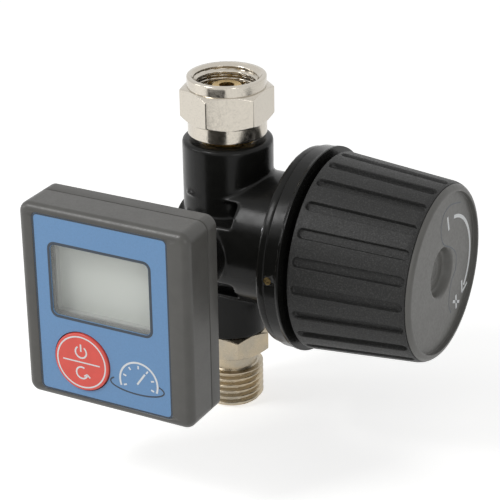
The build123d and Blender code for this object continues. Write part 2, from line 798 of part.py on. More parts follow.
def valve_plug():
    outer = valve_chamber_radius - slip
    guide_bore = poppet_tail_radius + running
    guide_radius = guide_bore + plug_guide_wall
    guide_end_x = plug_face_x + plug_guide_length
    groove = plug_ring_section / 2 + slip
    shape = turned_x([
        (-valve_boss_reach, 0), (-valve_boss_reach, outer - edge_break),
        (-valve_boss_reach + edge_break, outer),
        (plug_groove_x - groove, outer), (plug_groove_x - groove, outer - plug_ring_section),
        (plug_groove_x + groove, outer - plug_ring_section), (plug_groove_x + groove, outer),
        (plug_face_x, outer), (plug_face_x, guide_radius), (guide_end_x, guide_radius),
        (guide_end_x, guide_bore), (plug_face_x - plug_guide_depth, guide_bore),
        (plug_face_x - plug_guide_depth, 0),
    ])
    socket = Plane.YZ * hexagon(plug_socket_flats)
    return shape - Pos(-valve_boss_reach, 0, knob_axis_z) * extrude(socket, plug_socket_depth)


def plug_seal():
    outer = valve_chamber_radius - slip
    return ring_x(outer - plug_ring_section / 2, (plug_ring_section - slip) / 2, plug_groove_x)


def valve_spring():
    inner = poppet_tail_radius + running + plug_guide_wall + touch_free
    mean = inner + valve_spring_wire / 2
    return coil_x(mean, valve_spring_wire, plug_face_x, poppet_back_x, valve_spring_turns)


# Gauge stem, between the body's port and the case
def gauge_stem():
    thread_end_y = -gauge_boss_reach + gauge_port_depth - gauge_port_gap
    inner_y = board_back_y + sensor_height
    shape = rod_y(gauge_port_radius - slip, gasket_y, thread_end_y, z=knob_axis_z)
    shape += slab_y(hexagon(gauge_stem_flats), gauge_hex_y, gasket_y, z=knob_axis_z)
    shape += rod_y(gauge_stem_neck_radius, inner_y, gauge_hex_y, z=knob_axis_z)
    return shape - rod_y(gauge_stem_bore_radius, inner_y, thread_end_y, z=knob_axis_z)


def stem_gasket():
    sketch = Circle(stem_gasket_radius) - Circle(gauge_port_radius + slip)
    return slab_y(sketch, gasket_y, -gauge_boss_reach, z=knob_axis_z)


def gauge_nut():
    sketch = hexagon(gauge_nut_flats) - Circle(gauge_stem_neck_radius + slip)
    return slab_y(sketch, gauge_nut_y, case_inner_back_y, z=knob_axis_z)


def pressure_sensor():
    inner_y = board_back_y + sensor_height
    return rod_y(sensor_radius, board_back_y, inner_y, z=knob_axis_z)


# Gauge case
def case_block(y0, y1, inset=0.0):
    """A stretch of the case along Y; an inset one is the hollow inside a wall of that thickness."""
    corner = case_corner - inset / 2
    sketch = RectangleRounded(case_width - 2 * inset, case_height - 2 * inset, corner)
    return to_case * slab_y(sketch, y0, y1)


def case_corners():
    """The four screw places of the case, in (x, z) from the case's middle."""
    for side in (-1, 1):
        for end in (-1, 1):
            yield side * case_screw_x, end * case_screw_z


def window_sketch(grow=0.0):
    return RectangleRounded(window_width + 2 * grow, window_height + 2 * grow, window_corner)


def gauge_front():
    shape = case_block(case_front_y, case_seam_y)
    front_edges = shape.edges().group_by(Axis.Y)[0]
    shape = fillet(front_edges, case_bevel)
    hollow = case_block(case_inner_front_y, case_seam_y, case_wall)
    for x, z in case_corners():
        hollow -= rod_y(case_boss_radius, case_inner_front_y, case_seam_y, x, case_z + z)
    shape -= hollow
    label = RectangleRounded(label_width, label_height, label_corner)
    shape -= to_case * slab_y(label, case_front_y, case_front_y + label_recess, label_shift)
    window = slab_y(window_sketch(), case_front_y, case_inner_front_y, window_shift, window_rise)
    shape -= to_case * window
    hole = button_radius + touch_free
    shape -= to_case * rod_y(hole, case_front_y, case_inner_front_y, button_x, button_z)
    screw_end_y = case_back_y - touch_free - case_screw_head_height - case_screw_length
    for x, z in case_corners():
        shape -= rod_y(case_screw_radius + slip, screw_end_y - slip, case_seam_y, x, case_z + z)
    return shape


def gauge_back():
    shape = case_block(case_seam_y, case_back_y)
    back_edges = shape.edges().group_by(Axis.Y)[-1]
    shape = chamfer(back_edges, case_back_bevel)
    hollow = case_block(case_seam_y, case_inner_back_y, case_wall)
    for x, z in case_corners():
        hollow -= rod_y(case_post_radius, case_seam_y, case_inner_back_y, x, case_z + z)
    shape -= hollow
    seam = case_block(case_seam_y, case_seam_y + case_seam) - case_block(
        case_seam_y, case_seam_y + case_seam, case_seam)
    shape -= seam
    shape -= rod_y(gauge_stem_neck_radius + touch_free, case_inner_back_y, case_back_y, z=knob_axis_z)
    for x, z in case_corners():
        place = (x, case_z + z)
        head_floor_y = case_back_y - case_screw_head_height - touch_free
        shape -= rod_y(case_screw_head_radius + touch_free, head_floor_y, case_back_y, *place)
        shape -= rod_y(case_screw_radius + touch_free, case_seam_y, head_floor_y, *place)
    return shape


def case_screws():
    head_y = case_back_y - touch_free
    seat_y = head_y - case_screw_head_height
    screws = []
    for x, z in case_corners():
        head = rod_y(case_screw_head_radius, seat_y, head_y, x, case_z + z)
        shank = rod_y(case_screw_radius, seat_y - case_screw_length, seat_y, x, case_z + z)
        arm = Box(case_screw_cross, 2 * case_screw_cross_depth, case_screw_cross_width)
        cross = arm + Rot(0, 90, 0) * arm
        screws.append(head + shank - Pos(x, head_y, case_z + z) * cross)
    return Compound(children=screws)


def face_label():
    floor_y = case_front_y + label_recess
    sketch = RectangleRounded(label_width - 2 * slip, label_height - 2 * slip, label_corner)
    sheet = to_case * slab_y(sketch, floor_y - label_thickness, floor_y, label_shift)
    window = window_sketch(-slip)
    sheet -= to_case * slab_y(window, floor_y - label_thickness, floor_y, window_shift, window_rise)
    hole = button_radius + touch_free
    return sheet - to_case * rod_y(hole, floor_y - label_thickness, floor_y, button_x, button_z)


def window_lens():
    front_y = case_front_y + label_recess - label_thickness + lens_step
    raised = slab_y(window_sketch(-2 * slip), front_y, case_inner_front_y)
    flange = slab_y(window_sketch(lens_flange), case_inner_front_y, lens_back_y)
    return to_case * (Pos(window_shift, 0, window_rise) * (raised + flange))


def lcd_panel():
    sketch = Rectangle(lcd_width, lcd_height)
    return to_case * slab_y(sketch, lens_back_y, lcd_back_y, window_shift, window_rise)


def lcd_frame():
    """The frame that holds the display off the circuit board."""
    outer = Rectangle(lcd_width + 2 * lcd_frame_wall, lcd_height + 2 * lcd_frame_wall)
    rim_y = lcd_back_y - lcd_thickness / 2
    rim = slab_y(outer - Rectangle(lcd_width + 2 * slip, lcd_height + 2 * slip), rim_y, lcd_back_y)
    inner = Rectangle(lcd_width - 2 * lcd_frame_wall, lcd_height - 2 * lcd_frame_wall)
    base = slab_y(outer - inner, lcd_back_y, board_front_y)
    return to_case * (Pos(window_shift, 0, window_rise) * (rim + base))


def circuit_board():
    width = case_width - 2 * (case_wall + board_margin)
    height = case_height - 2 * (case_wall + board_margin)
    board = to_case * slab_y(Rectangle(width, height), board_front_y, board_back_y)
    for x, z in case_corners():
        board -= rod_y(case_boss_radius + loose, board_front_y, board_back_y, x, case_z + z)
    return board


def power_button():
    top_y = case_front_y + label_recess - label_thickness - button_proud
    flange_back_y = case_inner_front_y + slip + button_flange_thickness
    post_y = board_front_y - switch_height - plunger_depth
    cap = rod_y(button_radius, top_y, flange_back_y, button_x, button_z)
    cap = fillet(cap.edges().filter_by(GeomType.CIRCLE).sort_by(Axis.Y)[0], button_round)
    flange_radius_behind = button_radius + button_flange
    flange = rod_y(flange_radius_behind, case_inner_front_y + slip, flange_back_y, button_x, button_z)
    post = rod_y(plunger_radius, flange_back_y, post_y, button_x, button_z)
    return to_case * (cap + flange + post)


def tact_switch():
    top_y = board_front_y - switch_height
    block = slab_y(Rectangle(switch_size, switch_size), top_y, board_front_y)
    well = rod_y(plunger_radius + touch_free, top_y, top_y + switch_well_depth)
    return to_case * (Pos(button_x, 0, button_z) * (block - well))


def switch_plunger():
    top_y = board_front_y - switch_height
    bar = rod_y(plunger_radius, top_y - plunger_depth, top_y + plunger_foot, button_x, button_z)
    return to_case * bar


def coin_cell():
    can_y = board_back_y + coin_cell_thickness
    cell = rod_y(coin_cell_radius, board_back_y, can_y, coin_cell_x, coin_cell_z)
    edge = cell.edges().filter_by(GeomType.CIRCLE).sort_by(Axis.Y)[-1]
    return to_case * chamfer(edge, edge_break)


def cell_clip():
    """A strip that presses the coin cell on the board, with a leg at each side."""
    over_y = board_back_y + coin_cell_thickness
    span = 2 * (coin_cell_radius + loose + cell_clip_thickness)
    leg_height = coin_cell_thickness
    strip = Box(span, cell_clip_thickness, cell_clip_width)
    clip = Pos(0, over_y + cell_clip_thickness / 2, 0) * strip
    for side in (-1, 1):
        leg = Box(cell_clip_thickness, leg_height, cell_clip_width)
        leg_x = side * (span - cell_clip_thickness) / 2
        clip += Pos(leg_x, over_y - leg_height / 2, 0) * leg
    return to_case * (Pos(coin_cell_x, 0, coin_cell_z) * clip)


pieces = {
    "body": body,
    "inlet_fitting": inlet_fitting,
    "inlet_seal": inlet_seal,
    "swivel_stem": swivel_stem,
    "stem_seal": stem_seal,
    "swivel_nut": swivel_nut,
    "bonnet": bonnet,
    "seam_pin": seam_pin,
    "bonnet_screws": bonnet_screws,
    "knob": knob,
    "knob_cap": knob_cap,
    "knob_screw": knob_screw,
    "adjusting_screw": adjusting_screw,
    "thrust_washer": thrust_washer,
    "spring_seat": spring_seat,
    "main_spring": main_spring,
    "diaphragm": diaphragm,
    "diaphragm_plate": diaphragm_plate,
    "relief_seat": relief_seat,
    "plate_nut": plate_nut,
    "poppet": poppet,
    "valve_seal": valve_seal,
    "valve_spring": valve_spring,
    "valve_plug": valve_plug,
    "plug_seal": plug_seal,
    "gauge_stem": gauge_stem,
    "stem_gasket": stem_gasket,
    "gauge_nut": gauge_nut,
    "pressure_sensor": pressure_sensor,
    "gauge_front": gauge_front,
    "gauge_back": gauge_back,
    "case_screws": case_screws,
    "face_label": face_label,
    "window_lens": window_lens,
    "lcd_panel": lcd_panel,
    "lcd_frame": lcd_frame,
    "circuit_board": circuit_board,
    "power_button": power_button,
    "tact_switch": tact_switch,
    "switch_plunger": switch_plunger,
    "coin_cell": coin_cell,
    "cell_clip": cell_clip,
}

os.makedirs("parts", exist_ok=True)
for name, make in pieces.items():
    export_step(make(), f"parts/{name}.step")
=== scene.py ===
import json

import bmesh
import bpy
import numpy as np
from mathutils import Matrix, Vector


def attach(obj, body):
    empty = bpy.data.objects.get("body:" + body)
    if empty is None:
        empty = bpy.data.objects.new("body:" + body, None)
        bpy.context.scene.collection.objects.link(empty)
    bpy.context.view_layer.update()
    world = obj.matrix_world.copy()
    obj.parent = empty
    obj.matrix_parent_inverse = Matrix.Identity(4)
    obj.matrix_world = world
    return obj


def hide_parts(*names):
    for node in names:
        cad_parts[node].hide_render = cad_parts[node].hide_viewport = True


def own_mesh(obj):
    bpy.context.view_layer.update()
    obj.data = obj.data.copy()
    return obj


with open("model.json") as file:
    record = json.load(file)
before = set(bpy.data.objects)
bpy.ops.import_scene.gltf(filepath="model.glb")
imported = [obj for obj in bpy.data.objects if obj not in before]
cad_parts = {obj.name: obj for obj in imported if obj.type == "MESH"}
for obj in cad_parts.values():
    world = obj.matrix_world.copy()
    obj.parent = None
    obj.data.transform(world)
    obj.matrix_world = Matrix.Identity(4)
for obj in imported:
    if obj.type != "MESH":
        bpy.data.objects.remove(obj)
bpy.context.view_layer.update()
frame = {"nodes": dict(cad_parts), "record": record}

bl_info = {
    "name": "Spray Gun Air Regulator",
    "version": (1, 0, 0),
    "blender": (4, 5, 0),
    "location": "View3D > Sidebar > Regulator",
    "description": "Finishes and fine shapes of an in-line air regulator with a digital gauge",
    "category": "Add Mesh",
}

MM = 0.001

# Two corners of a mesh closer than this are one, in metres
SAME_PLACE = 1e-7

# Places shared by the pieces, in the part's own frame
# Lengths are in millimetres here and below, unless a comment says metres
KNOB_AXIS_Z = 35.3
CASE_Z = KNOB_AXIS_Z + 1.5
THREAD_PITCH = 1.411

# Planes of the gauge's front, seen from -Y: the label's print, the button's face and the display
LABEL_Y, BUTTON_Y, DISPLAY_Y = -49.65, -50.07, -46.0

# Middle of the window and of the display from the case's middle, rightwards and upwards
WINDOW = (-0.9, 5.5)

# Swivel nut, upwards: its ends, its hexagon's ends and the top of its inner lip, then its radii and its edges
NUT_BOTTOM, NUT_TOP = 57.5, 70.0
NUT_HEX_LOW, NUT_HEX_HIGH = 60.6, 67.7
NUT_LIP_TOP = 60.0
NUT_NECK_R, NUT_ROOT_R = 4.68, 6.85
NUT_EDGE = 0.3

# Inlet fitting, upwards: the ends of its thread and of its hexagon, and its spigot's end, then its radii
INLET_START, INLET_THREAD_TOP = -4.2, 4.2
INLET_HEX_LOW, INLET_HEX_HIGH = 7.8, 12.7
INLET_END = 18.7
INLET_CREST_R, INLET_NECK_R, INLET_SPIGOT_R, INLET_BORE_R = 6.75, 5.5, 5.4, 3.4
INLET_EDGE, INLET_MOUTH = 0.3, 1.2

# Knob, outwards along its axis: its base, the start of its rounded edge, its black skirt's end and its end
KNOB_BASE_X, KNOB_ROUND_X, SKIRT_END_X, KNOB_END_X = 24.0, 47.1, 48.5, 49.5
# Radii of its taper at the base and at the end, and how far the rounded edge drops below the taper
KNOB_BASE_R, KNOB_END_R, KNOB_DROP = 20.7, 18.5, 1.45

# End cap: its face, the seat behind it and the end of the cup round its dish
CAP_FACE_X, CAP_SEAT_X, CUP_END_X = 48.6, 48.2, 46.2


# Sizes and colours that a user would change
class NutSizes(bpy.types.PropertyGroup):
    flats: bpy.props.FloatProperty(
        name="Width over flats", description="Spanner size of the swivel nut", default=17 * MM, unit="LENGTH")
    collar: bpy.props.FloatProperty(
        name="Collar radius", description="Radius of the round collars", default=8.25 * MM, unit="LENGTH")
    thread_depth: bpy.props.FloatProperty(
        name="Thread depth", description="Depth of the female thread", default=0.65 * MM, unit="LENGTH")
    corner_angle: bpy.props.FloatProperty(
        name="Corner angle", description="Angle of one hexagon corner from +X",
        default=float(np.radians(-28)), unit="ROTATION")


class InletSizes(bpy.types.PropertyGroup):
    flats: bpy.props.FloatProperty(
        name="Width over flats", description="Spanner size of the inlet fitting",
        default=14.7 * MM, unit="LENGTH")
    thread_depth: bpy.props.FloatProperty(
        name="Thread depth", description="Depth of the male thread", default=0.85 * MM, unit="LENGTH")
    corner_angle: bpy.props.FloatProperty(
        name="Corner angle", description="Angle of one hexagon corner from +X",
        default=float(np.radians(-52.5)), unit="ROTATION")


class KnobSizes(bpy.types.PropertyGroup):
    grooves: bpy.props.IntProperty(name="Grooves", description="Number of grip grooves", default=22, min=6)
    groove_width: bpy.props.FloatProperty(
        name="Groove width", description="Width of one groove at the skin", default=2.2 * MM, unit="LENGTH")
    groove_depth: bpy.props.FloatProperty(
        name="Groove depth", description="Depth of the groove's floor", default=0.9 * MM, unit="LENGTH")
    colour: bpy.props.FloatVectorProperty(
        name="Colour", description="Colour of the grip",
        default=(0.018, 0.018, 0.0175), subtype="COLOR", size=3)
    cap_colour: bpy.props.FloatVectorProperty(
        name="Cap colour", description="Colour of the end cap",
        default=(0.11, 0.108, 0.1), subtype="COLOR", size=3)


class GaugeColours(bpy.types.PropertyGroup):
    case: bpy.props.FloatVectorProperty(
        name="Case", description="Colour of the gauge's case",
        default=(0.072, 0.07, 0.064), subtype="COLOR", size=3)
    label: bpy.props.FloatVectorProperty(
        name="Label", description="Colour of the printed film",
        default=(0.145, 0.3, 0.54), subtype="COLOR", size=3)
    button: bpy.props.FloatVectorProperty(
        name="Button", description="Colour of the button",
        default=(0.85, 0.1, 0.075), subtype="COLOR", size=3)
    display: bpy.props.FloatVectorProperty(
        name="Display", description="Colour of the blank display",
        default=(0.68, 0.71, 0.66), subtype="COLOR", size=3)


class MetalColours(bpy.types.PropertyGroup):
    enamel: bpy.props.FloatVectorProperty(
        name="Enamel", description="Colour of the painted body",
        default=(0.007, 0.007, 0.0065), subtype="COLOR", size=3)
    nickel: bpy.props.FloatVectorProperty(
        name="Nickel", description="Colour of the plated fittings",
        default=(0.55, 0.51, 0.445), subtype="COLOR", size=3)
    inlet_nickel: bpy.props.FloatVectorProperty(
        name="Inlet nickel", description="Colour of the duller plate on the inlet",
        default=(0.41, 0.365, 0.29), subtype="COLOR", size=3)
    brass: bpy.props.FloatVectorProperty(
        name="Brass", description="Colour of turned brass",
        default=(0.62, 0.45, 0.2), subtype="COLOR", size=3)


class StageSizes(bpy.types.PropertyGroup):
    light: bpy.props.FloatProperty(
        name="Key light", description="Power of the overhead softbox in watts", default=0.58, min=0)
    ambient: bpy.props.FloatProperty(
        name="Ambient", description="Strength of the even light from all round", default=0.38, min=0)


# Meshes from whole arrays of points
def mesh_object(name, points, quads, smooth=True):
    """An object of corners in millimetres and four-sided faces, its doubles merged and its faces outwards."""
    mesh = bpy.data.meshes.new(name)
    mesh.vertices.add(len(points))
    mesh.vertices.foreach_set("co", (np.asarray(points, float) * MM).ravel())
    mesh.loops.add(quads.size)
    mesh.loops.foreach_set("vertex_index", quads.ravel())
    mesh.polygons.add(len(quads))
    mesh.polygons.foreach_set("loop_start", np.arange(0, quads.size, 4))
    mesh.update(calc_edges=True)
    edit = bmesh.new()
    edit.from_mesh(mesh)
    bmesh.ops.remove_doubles(edit, verts=edit.verts, dist=SAME_PLACE)
    bmesh.ops.recalc_face_normals(edit, faces=edit.faces)
    edit.to_mesh(mesh)
    edit.free()
    mesh.polygons.foreach_set("use_smooth", np.full(len(mesh.polygons), smooth))
    piece = bpy.data.objects.new(name, mesh)
    bpy.context.scene.collection.objects.link(piece)
    return piece


def ring_object(name, points, crease):
    """A solid whose skin is a grid of points (rows, columns, 3) that closes both ways, like a ring's.

    Edges that turn by more than the crease angle, in degrees, stay sharp.
    """
    rows, columns = points.shape[:2]
    here = np.arange(rows * columns).reshape(rows, columns)
    below = np.roll(here, -1, axis=0)
    quads = np.stack([here, np.roll(here, -1, 1), np.roll(below, -1, 1), below], -1)
    piece = mesh_object(name, points.reshape(-1, 3), quads.reshape(-1, 4))
    piece.data.set_sharp_from_angle(angle=np.radians(crease))
    return piece


def slab(name, width, height, front_y, back_y, middle):
    """A plain block of the gauge, seen from the front, between two planes."""
    around = np.array([(-1, -1), (1, -1), (1, 1), (-1, 1)]) * (width / 2, height / 2) + middle
    points = np.array([(x, y, CASE_Z + z) for y in (front_y, back_y) for x, z in around])
    sides = [(k, (k + 1) % 4, (k + 1) % 4 + 4, k + 4) for k in range(4)]
    return mesh_object(name, points, np.array([(0, 1, 2, 3), (7, 6, 5, 4), *sides]), smooth=False)


def raised_line(name, line, width, thickness, place, closed=False):
    """A flat raised mark along a line (n, 2): a rectangle of a width and a thickness carried along it.

    Its sides stand width / 2 away along the line's normal, and place(u, v, lift) gives points in space.
    """
    line = np.asarray(line, float)
    if closed:
        ahead = np.roll(line, -1, 0) - np.roll(line, 1, 0)
    else:
        ahead = np.gradient(line, axis=0)
    ahead /= np.linalg.norm(ahead, axis=1)[:, None]
    side = np.stack([-ahead[:, 1], ahead[:, 0]], 1) * width / 2
    across = np.stack([line - side, line + side, line + side, line - side], 1)
    lift = np.broadcast_to([thickness, thickness, 0.0, 0.0], across.shape[:2])
    points = place(across[..., 0], across[..., 1], lift)
    index = np.arange(len(line) * 4).reshape(-1, 4)
    here = index if closed else index[:-1]
    there = np.roll(index, -1, 0)[:len(here)]
    quads = np.stack([here, np.roll(here, -1, 1), np.roll(there, -1, 1), there], -1).reshape(-1, 4)
    if not closed:
        quads = np.vstack([quads, index[0][::-1], index[-1]])
    return mesh_object(name, points.reshape(-1, 3), quads, smooth=False)


# Pieces that start from a CAD node
def merged_copy(node, name):
    """A CAD node's mesh, its doubles merged and its faces shaded smooth, as the piece that replaces it."""
    mesh = frame["nodes"][node].data.copy()
    mesh.name = name
    edit = bmesh.new()
    edit.from_mesh(mesh)
    bmesh.ops.remove_doubles(edit, verts=edit.verts, dist=2 * SAME_PLACE)
    bmesh.ops.dissolve_degenerate(edit, edges=edit.edges, dist=SAME_PLACE)
    edit.to_mesh(mesh)
    edit.free()
    mesh.materials.clear()
    mesh.polygons.foreach_set("use_smooth", np.full(len(mesh.polygons), True))
    piece = bpy.data.objects.new(name, mesh)
    bpy.context.scene.collection.objects.link(piece)
    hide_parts(node)
    return piece


def creased_copy(node, name, crease=32):
    """A merged copy whose edges stay sharp where they turn by more than the crease angle, in degrees."""
    piece = merged_copy(node, name)
    piece.data.set_sharp_from_angle(angle=np.radians(crease))
    normals = piece.modifiers.new("face weighted normals", "WEIGHTED_NORMAL")
    normals.keep_sharp = True
    return piece


def press_back(piece, face_y):
    """Moves every point of a piece that stands in front of the plane y = face_y back on to it."""
    points = np.empty(len(piece.data.vertices) * 3)
    piece.data.vertices.foreach_get("co", points)
    points[1::3] = np.maximum(points[1::3], face_y * MM)
    piece.data.vertices.foreach_set("co", points)
    piece.data.update()


def settle(piece, body, slot, material, *nodes):
    """Puts a finished piece on its body with its material, and hides the nodes that it stands for. The slot
    is not used.
    """
    piece.data.materials.append(material)
    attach(piece, body)
    if nodes:
        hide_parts(*nodes)


# Forms and lines
def rising(distance, over):
    """0 before a place, 1 from a length past it, and a straight rise between them."""
    return np.clip(distance / over, 0, 1)


def smooth_least(a, b, soft):
    """The lesser of two lengths, with the corner between them rounded over a distance of soft."""
    mix = np.clip(0.5 + 0.5 * (b - a) / soft, 0, 1)
    return b + (a - b) * mix - soft * mix * (1 - mix)


def about_x(x, radius, angles):
    """Points round the knob's axis, at x along it: y = r cos a, z = r sin a."""
    x, radius, angles = np.broadcast_arrays(x, radius, angles)
    return np.stack([x, radius * np.cos(angles), KNOB_AXIS_Z + radius * np.sin(angles)], -1)


def about_z(radius, heights, angles):
    """Points round the flow axis, from a radius that may depend on height and angle."""
    radius, z, angles = np.broadcast_arrays(radius, heights[:, None], angles)
    return np.stack([radius * np.cos(angles), radius * np.sin(angles), z], -1)


def turned(steps, angles):
    """Points round the flow axis through the given steps (radius, height)."""
    steps = np.asarray(steps, float)
    return about_z(steps[:, :1], steps[:, 1], angles)


def softened(corners, steps=6):
    """An open profile through corners (x, radius, softness): each corner inside it becomes a quadratic arc.

    The arc starts and ends a softness away from its corner, or a third of the side if that is less. A point
    a little further out on each side keeps the flat stretches flat when shaded.
    """
    corners, softness = corners[:, :2], corners[:, 2:]
    middle, support = corners[1:-1], 1.25
    before, after = corners[:-2] - middle, corners[2:] - middle
    long_before = np.linalg.norm(before, axis=1)[:, None]
    long_after = np.linalg.norm(after, axis=1)[:, None]
    step_before = before / long_before * np.minimum(softness[1:-1], long_before / 3)
    step_after = after / long_after * np.minimum(softness[1:-1], long_after / 3)
    first, last = (middle + step_before)[:, None], (middle + step_after)[:, None]
    t = np.linspace(0, 1, steps)[None, :, None]
    arcs = (1 - t) ** 2 * first + 2 * t * (1 - t) * middle[:, None] + t ** 2 * last
    ends = [(middle + step * support)[:, None] for step in (step_before, step_after)]
    inner = np.concatenate([ends[0], arcs, ends[1]], axis=1).reshape(-1, 2)
    return np.concatenate([corners[:1], inner, corners[-1:]])


def hexagon_radius(flats, angles, corner_angle):
    """Distance from the axis to a hexagon: the p-norm of three crossed slabs, with its corners rounded."""
    power = 160
    faces = corner_angle + np.radians(30) + np.radians([0, 60, 120])
    spread = np.abs(np.cos(angles[..., None] - faces)) ** power
    return flats / 2 / spread.sum(-1) ** (1 / power)


def hexagon_angles(corner_angle):
    """Angles round a hexagon, closer together near its corners."""
    near = np.array([0.3, 0.7, 1.2, 2, 3.5, 6, 9, 13, 18, 24, 30])
    sector = np.radians(np.concatenate([-near[::-1], [0], near[:-1]]))
    return (corner_angle + np.radians(60) * np.arange(6)[:, None] + sector).ravel()


def spanner_hexagon(sizes, to_end, angles):
    """A hexagon's radius at a distance from its end, where a cone of about 30 degrees cuts its corners."""
    clear, slope, soft = 0.02, 1.75, 0.12
    flats = sizes.flats / MM
    cone = flats / 2 + clear + np.maximum(to_end, 0) * slope
    return smooth_least(hexagon_radius(flats, angles, sizes.corner_angle), cone, soft)


def thread_wave(height, angle):
    """A right-hand thread, from 0 at its root to 1 at its crest: a triangle wave with its tips cut flat."""
    flat = 0.18
    phase = (height / THREAD_PITCH - angle / (2 * np.pi)) % 1
    triangle = np.abs(2 * phase - 1)
    return np.clip((triangle - flat) / (1 - 2 * flat), 0, 1)


def knob_outline(x):
    """Radius of the knob's skin: a straight taper that ends in a quarter of an ellipse."""
    over = rising(x - KNOB_ROUND_X, KNOB_END_X - KNOB_ROUND_X)
    taper = KNOB_BASE_R + (KNOB_END_R - KNOB_BASE_R) * (x - KNOB_BASE_X) / (KNOB_END_X - KNOB_BASE_X)
    return taper - KNOB_DROP * (1 - np.sqrt(1 - over ** 2))


def arc(centre, radii, start, end, count):
    """Points on an ellipse's arc between two angles in degrees."""
    a = np.radians(np.linspace(start, end, count))
    return np.stack([centre[0] + radii[0] * np.cos(a), centre[1] + radii[1] * np.sin(a)], 1)


def ray(centre, angle, inner, outer):
    """The two ends of a straight line on a ray at an angle in degrees, at their distances from its centre."""
    way = np.array([np.cos(np.radians(angle)), np.sin(np.radians(angle))])
    return [centre + way * inner, centre + way * outer]


def flowing(points, steps=8):
    """A smooth line through the given points: a Catmull-Rom curve."""
    p = np.asarray(points, float)
    p = np.concatenate([[2 * p[0] - p[1]], p, [2 * p[-1] - p[-2]]])
    a, b, c, d = (p[k:len(p) - 3 + k, None] for k in range(4))
    t = np.linspace(0, 1, steps, endpoint=False)[None, :, None]
    slope, bend, twist = c - a, 2 * a - 5 * b + 4 * c - d, 3 * b - a - 3 * c + d
    line = b + (t * slope + t ** 2 * bend + t ** 3 * twist) / 2
    return np.concatenate([line.reshape(-1, 2), p[-2:-1]])


def rounded_rectangle(width, height, corner, middle, steps=8):
    """Points of a rectangle with round corners, anticlockwise from the right side's lower end."""
    a = np.radians(np.linspace(0, 90, steps))[None] + np.radians([-90, 0, 90, 180])[:, None]
    x = np.array([1, 1, -1, -1])[:, None] * (width / 2 - corner) + corner * np.cos(a)
    y = np.array([-1, 1, 1, -1])[:, None] * (height / 2 - corner) + corner * np.sin(a)
    return np.stack([x.ravel() + middle[0], y.ravel() + middle[1]], 1)


# Where printed marks lie: each turns a place on a face, and the lift above it, into points in space
def on_cap(y, z, lift):
    """On the end cap's face, from the knob's axis: the lift goes outwards."""
    return np.stack([CAP_FACE_X + lift, y + 0 * lift, KNOB_AXIS_Z + z + 0 * lift], -1)


def on_front(face_y):
    """On the plane y = face_y of the gauge, from the case's middle: the lift goes forwards."""
    return lambda x, z, lift: np.stack([x + 0 * lift, face_y - lift, CASE_Z + z + 0 * lift], -1)


# Materials
class Finish:
    """A Principled material on Object coordinates, whose helpers add procedural detail.

    In every helper, scale sets the noise's grains, about 1 / scale metres across, and detail its fineness.
    """

    def __init__(self, name, colour, roughness, metallic=0.0):
        self.material = bpy.data.materials.new(name)
        self.material.use_nodes = True
        self.tree = self.material.node_tree
        self.tree.nodes.clear()
        output = self.tree.nodes.new("ShaderNodeOutputMaterial")
        self.shader = self.tree.nodes.new("ShaderNodeBsdfPrincipled")
        self.tree.links.new(self.shader.outputs[0], output.inputs[0])
        self.coordinates = self.tree.nodes.new("ShaderNodeTexCoord").outputs["Object"]
        self.colour = tuple(colour)
        self.set(Base_Color=(*self.colour, 1), Roughness=roughness, Metallic=metallic)

    def set(self, **values):
        """Sets sockets of the shader, named with underscores for spaces."""
        for key, value in values.items():
            self.shader.inputs[key.replace("_", " ")].default_value = value
        return self

    def noise(self, scale, detail, roughness=0.55):
        """A value that wanders from place to place, with finer grains the higher its own roughness."""
        node = self.tree.nodes.new("ShaderNodeTexNoise")
        node.inputs["Scale"].default_value = scale
        node.inputs["Detail"].default_value = detail
        node.inputs["Roughness"].default_value = roughness
        self.tree.links.new(self.coordinates, node.inputs["Vector"])
        return node.outputs["Fac"]

    def ranged(self, value, low, high, start, end):
        """A value stretched from start and end to low and high, and held there beyond them."""
        node = self.tree.nodes.new("ShaderNodeMapRange")
        for socket, number in zip(("From Min", "From Max", "To Min", "To Max"), (start, end, low, high)):
            node.inputs[socket].default_value = number
        self.tree.links.new(value, node.inputs["Value"])
        return node.outputs[0]

    def rough(self, low, high, scale, detail):
        """Roughness that wanders between two values."""
        value = self.ranged(self.noise(scale, detail), low, high, 0.3, 0.7)
        self.tree.links.new(value, self.shader.inputs["Roughness"])
        return self

    def tinted(self, other, scale, detail, roughness=0.55, start=0.35, end=0.65):
        """Colour that wanders from the finish's own to another, between the noise's start and end."""
        node = self.tree.nodes.new("ShaderNodeMix")
        node.data_type = "RGBA"
        share = self.ranged(self.noise(scale, detail, roughness), 0, 1, start, end)
        self.tree.links.new(share, node.inputs["Factor"])
        node.inputs[6].default_value = (*self.colour, 1)
        node.inputs[7].default_value = (*other, 1)
        self.tree.links.new(node.outputs[2], self.shader.inputs["Base Color"])
        return self

    def bumped(self, depth, strength, scale, detail, roughness=0.55):
        """A bump of the given depth in metres, chained on any bump before it."""
        node = self.tree.nodes.new("ShaderNodeBump")
        node.inputs["Strength"].default_value = strength
        node.inputs["Distance"].default_value = depth
        self.tree.links.new(self.noise(scale, detail, roughness), node.inputs["Height"])
        socket = self.shader.inputs["Normal"]
        if socket.links:
            self.tree.links.new(socket.links[0].from_socket, node.inputs["Normal"])
        self.tree.links.new(node.outputs[0], socket)
        return self


def times(colour, share):
    """A colour made lighter or darker by a share."""
    return tuple(min(1.0, channel * share) for channel in colour)


